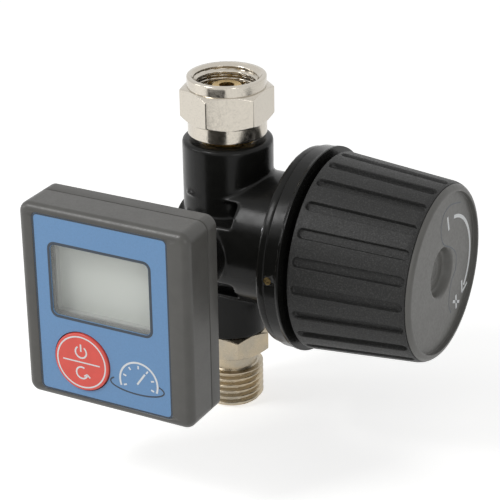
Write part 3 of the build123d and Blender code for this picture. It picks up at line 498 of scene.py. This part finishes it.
def metal_finishes(metal):
    """The cast body's enamel, both nickel plates, brass and steel."""
    fine = 0.01 * MM
    enamel = Finish("Gloss black enamel", metal.enamel, 0.3)
    enamel.rough(0.17, 0.27, scale=420, detail=2)
    enamel.tinted(times(metal.enamel, 1.5), scale=90, detail=3)
    enamel.bumped(0.04 * MM, 0.35, scale=900, detail=2)
    enamel.bumped(fine, 0.25, scale=3200, detail=3)
    enamel.set(Specular_IOR_Level=0.17)

    nickel = Finish("Bright nickel plate", metal.nickel, 0.2, metallic=1.0)
    nickel.rough(0.12, 0.26, scale=1300, detail=4)
    nickel.tinted(times(metal.nickel, 0.86), scale=2600, detail=4, roughness=0.7, start=0.5, end=0.72)
    nickel.bumped(fine, 0.3, scale=3800, detail=3)

    dull = Finish("Dull nickel plate", metal.inlet_nickel, 0.28, metallic=1.0)
    dull.rough(0.22, 0.42, scale=1100, detail=4)
    dull.tinted((0.5, 0.42, 0.3), scale=240, detail=3)
    dull.bumped(fine, 0.3, scale=3600, detail=3)

    brass = Finish("Turned brass", metal.brass, 0.3, metallic=1.0)
    brass.rough(0.22, 0.4, scale=1500, detail=3)
    brass.tinted(times(metal.brass, 0.8), scale=160, detail=3)
    brass.bumped(fine, 0.2, scale=2500, detail=2)

    steel = Finish("Zinc plated steel", (0.55, 0.55, 0.56), 0.35, metallic=1.0)
    steel.rough(0.28, 0.45, scale=1700, detail=3)
    steel.tinted((0.45, 0.46, 0.48), scale=300, detail=3)
    steel.bumped(fine, 0.2, scale=3500, detail=2)
    return {"black_enamel": enamel, "nickel": nickel, "dull_nickel": dull, "brass": brass, "steel": steel}


def moulded_finishes(knob, gauge):
    """The seals, and the plastics of the knob, its cap, the gauge and its button."""
    fine = 0.01 * MM
    rubber = Finish("Black nitrile rubber", (0.02, 0.02, 0.02), 0.7)
    rubber.rough(0.62, 0.8, scale=1200, detail=3)
    rubber.bumped(2 * fine, 0.3, scale=2400, detail=3)

    washer = Finish("White sealing washer", (0.75, 0.74, 0.7), 0.5)
    washer.rough(0.42, 0.6, scale=1500, detail=3)
    washer.tinted((0.66, 0.64, 0.58), scale=400, detail=3)

    grip = Finish("Textured black grip", knob.colour, 0.5)
    grip.rough(0.36, 0.62, scale=3000, detail=3)
    grip.tinted(times(knob.colour, 2.8), scale=3400, detail=3, roughness=0.7, start=0.5, end=0.66)
    grip.bumped(7 * fine, 0.75, scale=3000, detail=4, roughness=0.65)
    grip.set(Specular_IOR_Level=0.3)

    cap = Finish("Smooth grey cap", knob.cap_colour, 0.42)
    cap.rough(0.36, 0.5, scale=1600, detail=3)
    cap.bumped(fine, 0.3, scale=4200, detail=3)
    cap.tinted(times(knob.cap_colour, 1.12), scale=260, detail=3)

    case = Finish("Satin grey case", gauge.case, 0.4)
    case.rough(0.3, 0.44, scale=2400, detail=3)
    case.tinted(times(gauge.case, 1.15), scale=300, detail=3)
    case.bumped(fine, 0.35, scale=4200, detail=3)

    inner = Finish("Moulded inner plastic", (0.05, 0.05, 0.05), 0.5)
    inner.rough(0.42, 0.6, scale=1500, detail=3)

    button = Finish("Red button", gauge.button, 0.32)
    button.rough(0.28, 0.4, scale=900, detail=2)
    button.tinted(times(gauge.button, 0.93), scale=300, detail=3)
    return {"rubber": rubber, "seal_ring": washer, "knob_plastic": grip, "cap_plastic": cap,
            "case_plastic": case, "inner_plastic": inner, "button_red": button}


def front_finishes(gauge):
    """The label's film, print and painted shade, the window, the display and the circuit board behind it."""
    label = Finish("Printed blue film", gauge.label, 0.32)
    label.rough(0.28, 0.38, scale=500, detail=2)
    label.tinted(times(gauge.label, 1.08), scale=2600, detail=3)
    label.bumped(0.01 * MM, 0.12, scale=700, detail=2)

    white = Finish("White print", (0.82, 0.84, 0.85), 0.4)
    white.rough(0.34, 0.46, scale=2600, detail=2)
    # Dark print, which also draws the painted shade along the label's edge
    dark_print_and_shade = Finish("Dark print and painted shade", (0.035, 0.05, 0.07), 0.4)
    dark_print_and_shade.rough(0.34, 0.46, scale=2600, detail=2)

    clear = Finish("Clear window", (0.95, 0.97, 0.95), 0.06)
    clear.rough(0.04, 0.09, scale=200, detail=2)
    clear.set(Alpha=0.12, IOR=1.49)

    display = Finish("Blank display", gauge.display, 0.5)
    display.rough(0.44, 0.56, scale=1200, detail=2)
    display.tinted(times(gauge.display, 1.08), scale=60, detail=2)
    border = Finish("Display border", (0.52, 0.53, 0.51), 0.5)
    border.rough(0.42, 0.56, scale=1200, detail=2)

    board = Finish("Circuit board", (0.02, 0.16, 0.06), 0.35)
    board.rough(0.28, 0.45, scale=900, detail=3)
    board.tinted((0.015, 0.11, 0.045), scale=350, detail=4)
    return {"label_blue": label, "white_print": white, "dark_print": dark_print_and_shade, "clear_window": clear,
            "display_grey": display, "display_border": border, "board_green": board}


FINISHES = {}


class REGULATOR_OT_finishes(bpy.types.Operator):
    """Make the finishes and put each CAD node's own on it"""
    bl_idname = "regulator.finishes"
    bl_label = "Finishes"

    def execute(self, context):
        scene = context.scene
        made = {
            **metal_finishes(scene.regulator_metals),
            **moulded_finishes(scene.regulator_knob, scene.regulator_gauge),
            **front_finishes(scene.regulator_gauge),
        }
        FINISHES.update({name: finish.material for name, finish in made.items()})
        for row in frame["record"]["subparts"]:
            node, slot = row["node"], row["material_slot"]
            piece = frame["nodes"][node]
            piece.data.materials.clear()
            piece.data.materials.append(FINISHES[slot])
        return {"FINISHED"}


class REGULATOR_OT_casting(bpy.types.Operator):
    """Shade the cast body and the bonnet smoothly"""
    bl_idname = "regulator.casting"
    bl_label = "Cast body"

    def execute(self, context):
        cast = merged_copy("body", "cast_body")
        skin = cast.modifiers.new("even skin", "REMESH")
        skin.mode = "VOXEL"
        skin.voxel_size = 0.36 * MM
        skin.use_smooth_shade = True
        edges = cast.modifiers.new("cast edges", "SMOOTH")
        edges.factor = 0.5
        edges.iterations = 5
        for piece in (cast, creased_copy("bonnet", "bonnet_ring")):
            settle(piece, "regulator", "black_enamel", FINISHES["black_enamel"])
        return {"FINISHED"}


class REGULATOR_OT_nut(bpy.types.Operator):
    """Make the swivel nut with its hexagon, collars and female thread, and its stem"""
    bl_idname = "regulator.nut"
    bl_label = "Swivel nut"

    def execute(self, context):
        sizes = context.scene.regulator_nut
        angles = hexagon_angles(sizes.corner_angle)
        skin = [self.outside(sizes, angles), self.inside(sizes, angles), self.lip(angles)]
        nut = ring_object("threaded_swivel_nut", np.concatenate(skin), crease=38)
        settle(nut, "outlet_nut", "nickel", FINISHES["nickel"], "swivel_nut")
        settle(creased_copy("swivel_stem", "stem_with_nose"), "regulator", "nickel", FINISHES["brass"])
        return {"FINISHED"}

    def outside(self, sizes, angles):
        """Upwards: the collars with their rounded edges, and the hexagon between them."""
        step, middle = 0.04, 64.0
        near_end = np.array([0, 0.1, 0.2, NUT_EDGE, 0.6])
        chamfer = np.linspace(0, 1.6, 17)
        heights = np.concatenate([
            NUT_BOTTOM + near_end, [NUT_HEX_LOW - 0.3, NUT_HEX_LOW - step],
            NUT_HEX_LOW + chamfer, [middle], NUT_HEX_HIGH - chamfer[::-1],
            [NUT_HEX_HIGH + step, NUT_HEX_HIGH + 0.3], NUT_TOP - near_end[::-1]])
        h = heights[:, None]
        hexagon = spanner_hexagon(sizes, np.minimum(h - NUT_HEX_LOW, NUT_HEX_HIGH - h), angles)
        to_rim = rising(np.minimum(h - NUT_BOTTOM, NUT_TOP - h), NUT_EDGE)
        collars = sizes.collar / MM - NUT_EDGE * (1 - np.sqrt(1 - (1 - to_rim) ** 2))
        in_hexagon = (h >= NUT_HEX_LOW) & (h <= NUT_HEX_HIGH)
        return about_z(np.where(in_hexagon, hexagon, collars), heights, angles)

    def inside(self, sizes, angles):
        """Downwards: the mouth's chamfer, and the thread, which fades in below it and out above the lip."""
        mouth, row = 0.5, 0.075
        heights = np.concatenate([
            [NUT_TOP, NUT_TOP - 0.12], np.arange(NUT_TOP - 0.4, NUT_LIP_TOP + 0.4, -row),
            [NUT_LIP_TOP + 0.02]])
        h = heights[:, None]
        fade = rising(NUT_TOP - 0.35 - h, 0.7) * rising(h - NUT_LIP_TOP - 0.9, 0.8)
        thread = sizes.thread_depth / MM * thread_wave(h, angles) * fade
        chamfer = np.clip(mouth - (NUT_TOP - h), 0, mouth)
        return about_z(NUT_ROOT_R - thread + chamfer, heights, angles)

    def lip(self, angles):
        """Downwards: the lip that holds the nut on the stem's neck."""
        wide = NUT_NECK_R + NUT_EDGE
        return turned([(wide, NUT_LIP_TOP), (NUT_NECK_R, NUT_LIP_TOP - NUT_EDGE),
                       (NUT_NECK_R, NUT_BOTTOM + NUT_EDGE), (wide, NUT_BOTTOM)], angles)


class REGULATOR_OT_inlet(bpy.types.Operator):
    """Make the inlet fitting with its male thread, neck and hexagon"""
    bl_idname = "regulator.inlet"
    bl_label = "Inlet fitting"

    def execute(self, context):
        sizes = context.scene.regulator_inlet
        angles = hexagon_angles(sizes.corner_angle)
        hexagon = np.linspace(INLET_HEX_LOW, INLET_HEX_HIGH, 40)
        h = hexagon[:, None]
        to_end = np.minimum(h - INLET_HEX_LOW, INLET_HEX_HIGH - h)
        under_neck = [(INLET_CREST_R - INLET_EDGE, INLET_THREAD_TOP + 0.1),
                      (INLET_NECK_R + 0.25, INLET_THREAD_TOP + 0.2), (INLET_NECK_R, INLET_THREAD_TOP + 0.5)]
        neck = np.linspace(INLET_THREAD_TOP + 0.6, INLET_HEX_LOW - 0.2, 12)
        spigot = [(INLET_SPIGOT_R, INLET_HEX_HIGH + 0.05), (INLET_SPIGOT_R, INLET_END - INLET_EDGE),
                  (INLET_SPIGOT_R - INLET_EDGE, INLET_END)]
        bore = [(INLET_BORE_R + 0.2, INLET_END), (INLET_BORE_R, INLET_END - INLET_EDGE),
                (INLET_BORE_R, INLET_START + INLET_MOUTH), (INLET_BORE_R + INLET_MOUTH, INLET_START)]
        skin = np.concatenate([
            self.thread(sizes, angles), turned(under_neck, angles), about_z(INLET_NECK_R, neck, angles),
            about_z(spanner_hexagon(sizes, to_end, angles), hexagon, angles),
            turned(spigot, angles), turned(bore, angles)])
        fitting = ring_object("threaded_inlet_fitting", skin, crease=38)
        settle(fitting, "regulator", "nickel", FINISHES["dull_nickel"], "inlet_fitting")
        return {"FINISHED"}

    def thread(self, sizes, angles):
        """Upwards: the thread, which a cone cuts at its start and which fades out at its top."""
        row, chamfer = 0.07, 1.15
        heights = np.arange(INLET_START, INLET_THREAD_TOP + 0.01, row)
        h = heights[:, None]
        fade = rising(INLET_THREAD_TOP - h, 0.9)
        wave = INLET_CREST_R - sizes.thread_depth / MM * (1 - thread_wave(h, angles)) * fade
        cone = INLET_CREST_R - chamfer + (h - INLET_START) * chamfer
        return about_z(np.minimum(wave, cone), heights, angles)


class REGULATOR_OT_knob(bpy.types.Operator):
    """Make the tapered knob with its grip grooves"""
    bl_idname = "regulator.knob"
    bl_label = "Ribbed knob"

    def execute(self, context):
        sizes = context.scene.regulator_knob
        width = sizes.groove_width / MM
        groove_start, groove_end = KNOB_BASE_X + 0.8, SKIRT_END_X - 0.35
        x, r = self.rows(groove_start, groove_end)
        sector = self.sector(r, 2 * np.pi / sizes.grooves, width)
        middles = np.arange(sizes.grooves) * 2 * np.pi / sizes.grooves
        angles = (middles[None, :, None] + sector[:, None, :]).reshape(len(r), -1)
        # A groove ends in half a circle, and its wall is a smooth step 0.3 across
        across = np.tile(np.abs(sector) * r, (1, sizes.grooves))
        past = np.maximum(np.maximum(groove_start + width / 2 - x, x - (groove_end - width / 2)), 0)
        wall = rising(width / 2 + 0.02 - np.hypot(across, past), 0.3)
        cut = sizes.groove_depth / MM * wall * wall * (3 - 2 * wall)
        inside = self.inside()
        skin = [about_x(x, r - cut, angles), about_x(inside[:, :1], inside[:, 1:], angles[:1])]
        knob = ring_object("ribbed_knob", np.concatenate(skin), crease=50)
        settle(knob, "knob_group", "knob_plastic", FINISHES["knob_plastic"], "knob")
        return {"FINISHED"}

    def rows(self, groove_start, groove_end):
        """Places along the axis and radii of the skin's rows, close together where the grooves end."""
        close = np.linspace(0, 1.7, 18)
        x = np.concatenate([
            [KNOB_BASE_X + 0.3, KNOB_BASE_X + 0.45], groove_start - 0.25 + close,
            np.linspace(groove_start + 1.6, groove_end - 1.6, 26), groove_end + 0.15 - close[::-1],
            [SKIRT_END_X - 0.1]])
        x = np.unique(np.round(x, 4))
        base_edge = KNOB_BASE_R - np.array([1.0, 0.35, 0.1])
        r = np.concatenate([base_edge, knob_outline(x), [knob_outline(SKIRT_END_X) - 0.12]])
        x = np.concatenate([[KNOB_BASE_X, KNOB_BASE_X, KNOB_BASE_X + 0.12], x, [SKIRT_END_X]])
        return x[:, None], r[:, None]

    def sector(self, r, pitch, width):
        """Angles from a groove's middle, row by row: true lengths near its walls, and the rest spread out."""
        drawn_width = 2.2
        near = np.array([0, 0.35, 0.62, 0.76, 0.84, 0.9, 0.96, 1.02, 1.08, 1.14, 1.2, 1.28, 1.4, 1.6])
        inner = near * width / drawn_width / r
        edge = inner[:, -1:]
        outer = edge + (pitch / 2 - edge) * np.array([0.3, 0.65])
        half = np.concatenate([inner, outer], 1)
        return np.concatenate([-half[:, :0:-1], half, np.full((len(r), 1), pitch / 2)], 1)

    def inside(self):
        """The hollow's profile (x, radius), from the skirt's end inwards and back to the base."""
        head_seat_x, socket_end_x, hub_end_x, roof_x = 45.0, 42.1, 42.0, 44.8
        recess_r, cup_r, head_r, screw_r, socket_r = 16.8, 6.15, 3.0, 1.7, 3.7
        hub_r, roof_r, base_r = 6.6, 15.2, 17.5
        return np.array([
            (SKIRT_END_X, recess_r + 0.4), (SKIRT_END_X, recess_r + 0.1), (CAP_SEAT_X, recess_r),
            (CAP_SEAT_X, recess_r - 0.1), (CAP_SEAT_X, cup_r + 0.25), (CAP_SEAT_X, cup_r),
            (CUP_END_X, cup_r), (CUP_END_X, head_r), (head_seat_x, head_r), (head_seat_x, screw_r),
            (socket_end_x, screw_r), (hub_end_x, socket_r), (hub_end_x, hub_r), (roof_x, hub_r),
            (roof_x, roof_r), (KNOB_BASE_X + 0.2, base_r - 0.2), (KNOB_BASE_X, base_r)])


class REGULATOR_OT_cap(bpy.types.Operator):
    """Make the end cap with its dish and its turning marks"""
    bl_idname = "regulator.cap"
    bl_label = "End cap"

    def execute(self, context):
        profile = self.profile()
        around = np.linspace(0, 2 * np.pi, 144, endpoint=False)
        disc = ring_object("cap_disc", about_x(profile[:, :1], profile[:, 1:], around), crease=50)
        settle(disc, "knob_group", "cap_plastic", FINISHES["cap_plastic"], "knob_cap")
        stroke, print_height = 0.6, 0.02
        tip = (11.1, -9.1)
        panel = [(9.0, 12.0), (4.1, 13.3), (0.7, 12.9), (-0.8, 10.9), (-0.8, 8.3), (0.9, 5.7), (4.8, 3.5),
                 (7.3, 1.0), (7.2, -2.2), (5.3, -4.1), (4.4, -6.7), (4.3, -9.3), (5.5, -11.4)]
        marks = {
            "cap_arrow_arc": (arc((3.9, -0.6), (10.8, 10.8), 81, -42, 60), 0.75, "white_print"),
            "cap_arrow_head_in": ([tip, (11.0, -7.6), (10.8, -6.3)], stroke, "white_print"),
            "cap_arrow_head_out": ([tip, (12.5, -8.6), (13.8, -8.0)], stroke, "white_print"),
            "cap_minus": ([(2.2, 11.3), (2.65, 9.7), (3.1, 8.1)], stroke, "white_print"),
            "cap_plus_bar": ([(6.4, -9.3), (8.1, -10.0), (9.8, -10.7)], stroke, "white_print"),
            "cap_plus_post": ([(7.9, -8.4), (8.1, -10.0), (8.3, -11.6)], stroke, "white_print"),
            "cap_panel_line": (flowing(panel), 0.25, "dark_print"),
        }
        for name, (line, width, finish) in marks.items():
            mark = raised_line(name, line, width, print_height, on_cap)
            settle(mark, "knob_group", "cap_plastic", FINISHES[finish])
        return {"FINISHED"}

    def profile(self):
        """The cap's profile (x, radius): its rounded rim, its face and dish, and its back with the cup."""
        # The joint with the black skirt, and the floors of the dish and of the dimple in it
        joint_x, dish_x, dimple_x = SKIRT_END_X + 0.03, 46.75, 46.5
        lid_r, cup_r = 16.7, 6.1
        quarter = np.radians(np.linspace(36, 90, 12))
        rim_x = KNOB_ROUND_X + (KNOB_END_X - KNOB_ROUND_X) * np.sin(quarter)
        rim_x = rim_x[rim_x > joint_x + 0.1]
        rim = np.stack([rim_x, knob_outline(rim_x)], 1)
        face = softened(np.array([
            (KNOB_END_X, 16.98, 0), (KNOB_END_X, 16.8, 0.1), (CAP_FACE_X, lid_r, 0.1), (CAP_FACE_X, 5.3, 0.5),
            (dish_x, 4.5, 0.5), (dish_x, 1.9, 0.2), (dimple_x, 1.5, 0)]))
        back = [(dimple_x, 0.0), (CUP_END_X, 0.0), (CUP_END_X, cup_r), (CAP_SEAT_X, cup_r),
                (CAP_SEAT_X, lid_r)]
        return np.concatenate([[(joint_x, 16.76), (joint_x, 18.1)], rim, face, back])


class REGULATOR_OT_gauge(bpy.types.Operator):
    """Finish the gauge's case, its label's print, its display and its button"""
    bl_idname = "regulator.gauge"
    bl_label = "Gauge"

    def execute(self, context):
        for node, name in (("gauge_front", "case_front"), ("gauge_back", "case_back")):
            shell = creased_copy(node, name, crease=28)
            settle(shell, "regulator", "case_plastic", FINISHES["case_plastic"])
        button = creased_copy("power_button", "button_cap")
        press_back(button, BUTTON_Y)
        settle(button, "button_group", "button_red", FINISHES["button_red"])
        self.make_display()
        self.print_label()
        self.print_button()
        return {"FINISHED"}

    def make_display(self):
        """The blank display, and the pale border that stands round it behind the window."""
        back_y, border_depth = -45.5, 1.28
        display = slab("display_glass", 25.0, 17.0, DISPLAY_Y, back_y, WINDOW)
        settle(display, "regulator", "display_grey", FINISHES["display_grey"], "lcd_panel")
        opening = rounded_rectangle(23.8, 16.3, 0.7, WINDOW)
        border = raised_line("display_surround", opening, 1.2, border_depth, on_front(DISPLAY_Y), closed=True)
        settle(border, "regulator", "display_grey", FINISHES["display_border"])

    def print_label(self):
        """A dark outline round the window, a sweep line, a dark line of painted shade along the label's edge,
        and a plain white dial: an arc, ticks and a needle.
        """
        print_height, needle_height = 0.03, 0.035
        dial, dial_r, dial_start, dial_end = np.array([7.0, -12.6]), 4.2, 200, -20
        dark_print_and_shade = {
            # A dark line of painted shade along the label's edge, where the step down into its recess shades
            # it
            "label_edge_painted_shade": (rounded_rectangle(29.5, 37.5, 1.0, (-0.6, 0)), 0.3, print_height, True),
            "window_outline": (rounded_rectangle(22.5, 15.5, 1.4, WINDOW), 0.55, print_height, True),
            "label_swoosh": (arc((6.6, -13.6), (6.0, 1.7), 150, 395, 70), 0.3, print_height, False),
        }
        dial_arc = arc(dial, (dial_r, dial_r), dial_start, dial_end, 60)
        white = {"dial_arc": (dial_arc, 0.4, print_height, False)}
        for number, angle in enumerate(np.linspace(dial_start, dial_end, 7)):
            white[f"dial_tick_{number}"] = (ray(dial, angle, 2.9, 3.6), 0.35, print_height, False)
        white["dial_needle"] = (ray(dial, 55, -0.6, 2.5), 0.4, needle_height, False)
        for marks, finish in ((dark_print_and_shade, "dark_print"), (white, "white_print")):
            for name, (line, width, height, closed) in marks.items():
                mark = raised_line(name, line, width, height, on_front(LABEL_Y), closed)
                settle(mark, "regulator", "label_blue", FINISHES[finish])

    def print_button(self):
        """A ring, a bar, the standing power sign above it and a turning arrow below."""
        print_height = 0.03
        middle = np.array([-5.7, -11.0])
        ring_r, sign_r, sign_rise = 5.45, 1.25, 2.2
        signs = {
            "button_ring": (arc(middle, (ring_r, ring_r), 0, 360, 97)[:-1], 0.3, True),
            "button_bar": ([middle + (-4.2, 0), middle + (4.2, 0)], 0.28, False),
            "power_arc": (arc(middle + (0, sign_rise), (sign_r, sign_r), 125, 415, 40), 0.34, False),
            "power_stroke": ([middle + (0, 2.3), middle + (0, 3.9)], 0.34, False),
            "reset_arc": (arc(middle + (0, -2.3), (sign_r, sign_r), 60, 340, 40), 0.34, False),
            "reset_tip_out": ([middle + (1.2, -2.45), middle + (1.85, -3.1)], 0.3, False),
            "reset_tip_in": ([middle + (1.2, -2.45), middle + (0.5, -2.95)], 0.3, False),
        }
        for name, (line, width, closed) in signs.items():
            sign = raised_line(name, line, width, print_height, on_front(BUTTON_Y), closed)
            settle(sign, "button_group", "button_red", FINISHES["white_print"])


class REGULATOR_OT_springs(bpy.types.Operator):
    """Give each spring its own copy of its mesh"""
    bl_idname = "regulator.springs"
    bl_label = "Springs"

    def execute(self, context):
        # The joint, then the fixed end, the free end and the travel along the knob's axis
        springs = {
            "main_spring": ("seat_travel", 20.4, 34.7, 5.1),
            "valve_spring": ("valve_lift", -7.2, -4.5, 0.8),
        }
        for node, (joint, fixed_x, free_x, travel) in springs.items():
            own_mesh(frame["nodes"][node])
        return {"FINISHED"}


class REGULATOR_OT_stage(bpy.types.Operator):
    """Make the floor, the lamps, the world and the camera"""
    bl_idname = "regulator.stage"
    bl_label = "Stage"

    def execute(self, context):
        self.make_floor()
        self.make_world(context.scene)
        self.make_lamps(context.scene)
        self.make_camera(context.scene)
        context.scene.view_settings.view_transform = "Standard"
        return {"FINISHED"}

    def split_rays(self, tree, seen, plain, output):
        """Shows one shader to the camera, in reflections and through the window, and another to all else."""
        path = tree.nodes.new("ShaderNodeLightPath")
        rays = path.outputs["Is Camera Ray"]
        for kind in ("Is Glossy Ray", "Is Transmission Ray"):
            either = tree.nodes.new("ShaderNodeMath")
            either.operation = "MAXIMUM"
            tree.links.new(rays, either.inputs[0])
            tree.links.new(path.outputs[kind], either.inputs[1])
            rays = either.outputs[0]
        mix = tree.nodes.new("ShaderNodeMixShader")
        tree.links.new(rays, mix.inputs[0])
        tree.links.new(plain.outputs[0], mix.inputs[1])
        tree.links.new(seen.outputs[0], mix.inputs[2])
        tree.links.new(mix.outputs[0], output.inputs["Surface"])

    def make_floor(self):
        """A pale floor just under the inlet, lit up to white where it is seen."""
        half_side, height, colour, glow = 900, -4.25, (0.85, 0.85, 0.84, 1), 0.62
        corners = np.array([(-1, -1), (1, -1), (1, 1), (-1, 1)]) * half_side
        points = np.column_stack([corners, np.full(4, height)])
        floor = mesh_object("floor", points, np.array([[0, 1, 2, 3]]), smooth=False)
        material = bpy.data.materials.new("Pale floor")
        material.use_nodes = True
        tree = material.node_tree
        tree.nodes.clear()
        cloth = tree.nodes.new("ShaderNodeBsdfDiffuse")
        cloth.inputs["Color"].default_value = colour
        light = tree.nodes.new("ShaderNodeEmission")
        light.inputs["Strength"].default_value = glow
        both = tree.nodes.new("ShaderNodeAddShader")
        tree.links.new(cloth.outputs[0], both.inputs[0])
        tree.links.new(light.outputs[0], both.inputs[1])
        self.split_rays(tree, both, cloth, tree.nodes.new("ShaderNodeOutputMaterial"))
        floor.data.materials.append(material)

    def make_world(self, scene):
        """White where it is seen, and an even light on the object."""
        world = bpy.data.worlds.new("Studio")
        scene.world = world
        world.use_nodes = True
        tree = world.node_tree
        tree.nodes.clear()
        seen, plain = (tree.nodes.new("ShaderNodeBackground") for _ in range(2))
        for node, strength in ((seen, 1.0), (plain, scene.regulator_stage.ambient)):
            node.inputs["Color"].default_value = (1, 1, 1, 1)
            node.inputs["Strength"].default_value = strength
        self.split_rays(tree, seen, plain, tree.nodes.new("ShaderNodeOutputWorld"))

    def make_lamps(self, scene):
        """Three square softboxes in metres, each turned to the object's middle."""
        key = scene.regulator_stage.light
        lamps = {
            "overhead softbox": ((-0.17, -0.24, 0.35), 0.13, key),
            "left softbox": ((-0.38, -0.22, 0.18), 0.12, key * 0.45),
            "right softbox": ((0.36, -0.3, 0.2), 0.12, key * 0.35),
        }
        middle = Vector((0.012, -0.012, 0.035))
        for name, (place, side, power) in lamps.items():
            light = bpy.data.lights.new(name, "AREA")
            light.shape = "SQUARE"
            light.size = side
            light.energy = power
            lamp = bpy.data.objects.new(name, light)
            lamp.location = place
            lamp.rotation_euler = (middle - Vector(place)).to_track_quat("-Z", "Y").to_euler()
            scene.collection.objects.link(lamp)

    def make_camera(self, scene):
        """The photograph's view: 28.5 degrees round to the right, 24.6 degrees up, 0.42 m away."""
        azimuth, height, roll = np.radians([28.5, 24.6, -0.9])
        distance, target_z, aside = 420, KNOB_AXIS_Z - 4.86, 4.24
        sensor, focal_pixels, frame_pixels = 36, 1975, 500
        back = np.array([np.sin(azimuth) * np.cos(height), -np.cos(azimuth) * np.cos(height), np.sin(height)])
        level_right = np.array([np.cos(azimuth), np.sin(azimuth), 0])
        level_up = np.cross(back, level_right)
        right = level_right * np.cos(roll) + level_up * np.sin(roll)
        up = level_up * np.cos(roll) - level_right * np.sin(roll)
        turn = np.eye(4)
        turn[:3, :3] = np.stack([right, up, back], 1)
        turn[:3, 3] = (np.array([0, 0, target_z]) + right * aside + back * distance) * MM
        lens = bpy.data.cameras.new("camera")
        lens.sensor_width = sensor
        lens.lens = sensor * focal_pixels / frame_pixels
        lens.clip_start = 0.01
        lens.clip_end = 10
        camera = bpy.data.objects.new("camera", lens)
        camera.matrix_world = Matrix(turn.tolist())
        scene.collection.objects.link(camera)
        scene.camera = camera


class REGULATOR_PT_panel(bpy.types.Panel):
    """Lists the regulator's sizes and pieces"""
    bl_idname = "REGULATOR_PT_panel"
    bl_label = "Air regulator"
    bl_space_type = "VIEW_3D"
    bl_region_type = "UI"
    bl_category = "Regulator"

    def draw(self, context):
        for group in GROUPS:
            box = self.layout.box()
            box.label(text=group.replace("_", " ").capitalize())
            settings = getattr(context.scene, group)
            for name in settings.bl_rna.properties.keys():
                if name not in ("rna_type", "name"):
                    box.prop(settings, name)
        for operator in OPERATORS:
            self.layout.operator(operator.bl_idname)


GROUPS = {
    "regulator_nut": NutSizes,
    "regulator_inlet": InletSizes,
    "regulator_knob": KnobSizes,
    "regulator_gauge": GaugeColours,
    "regulator_metals": MetalColours,
    "regulator_stage": StageSizes,
}
OPERATORS = (
    REGULATOR_OT_finishes,
    REGULATOR_OT_casting,
    REGULATOR_OT_nut,
    REGULATOR_OT_inlet,
    REGULATOR_OT_knob,
    REGULATOR_OT_cap,
    REGULATOR_OT_gauge,
    REGULATOR_OT_springs,
    REGULATOR_OT_stage,
)


def register():
    for settings in GROUPS.values():
        bpy.utils.register_class(settings)
    for operator in OPERATORS:
        bpy.utils.register_class(operator)
    bpy.utils.register_class(REGULATOR_PT_panel)
    for name, settings in GROUPS.items():
        setattr(bpy.types.Scene, name, bpy.props.PointerProperty(type=settings))


def unregister():
    for name in GROUPS:
        delattr(bpy.types.Scene, name)
    bpy.utils.unregister_class(REGULATOR_PT_panel)
    for operator in reversed(OPERATORS):
        bpy.utils.unregister_class(operator)
    for settings in GROUPS.values():
        bpy.utils.unregister_class(settings)


def main():
    register()
    bpy.ops.regulator.finishes()
    bpy.ops.regulator.casting()
    bpy.ops.regulator.nut()
    bpy.ops.regulator.inlet()
    bpy.ops.regulator.knob()
    bpy.ops.regulator.cap()
    bpy.ops.regulator.gauge()
    bpy.ops.regulator.springs()
    bpy.ops.regulator.stage()


if __name__ == "__main__":
    main()
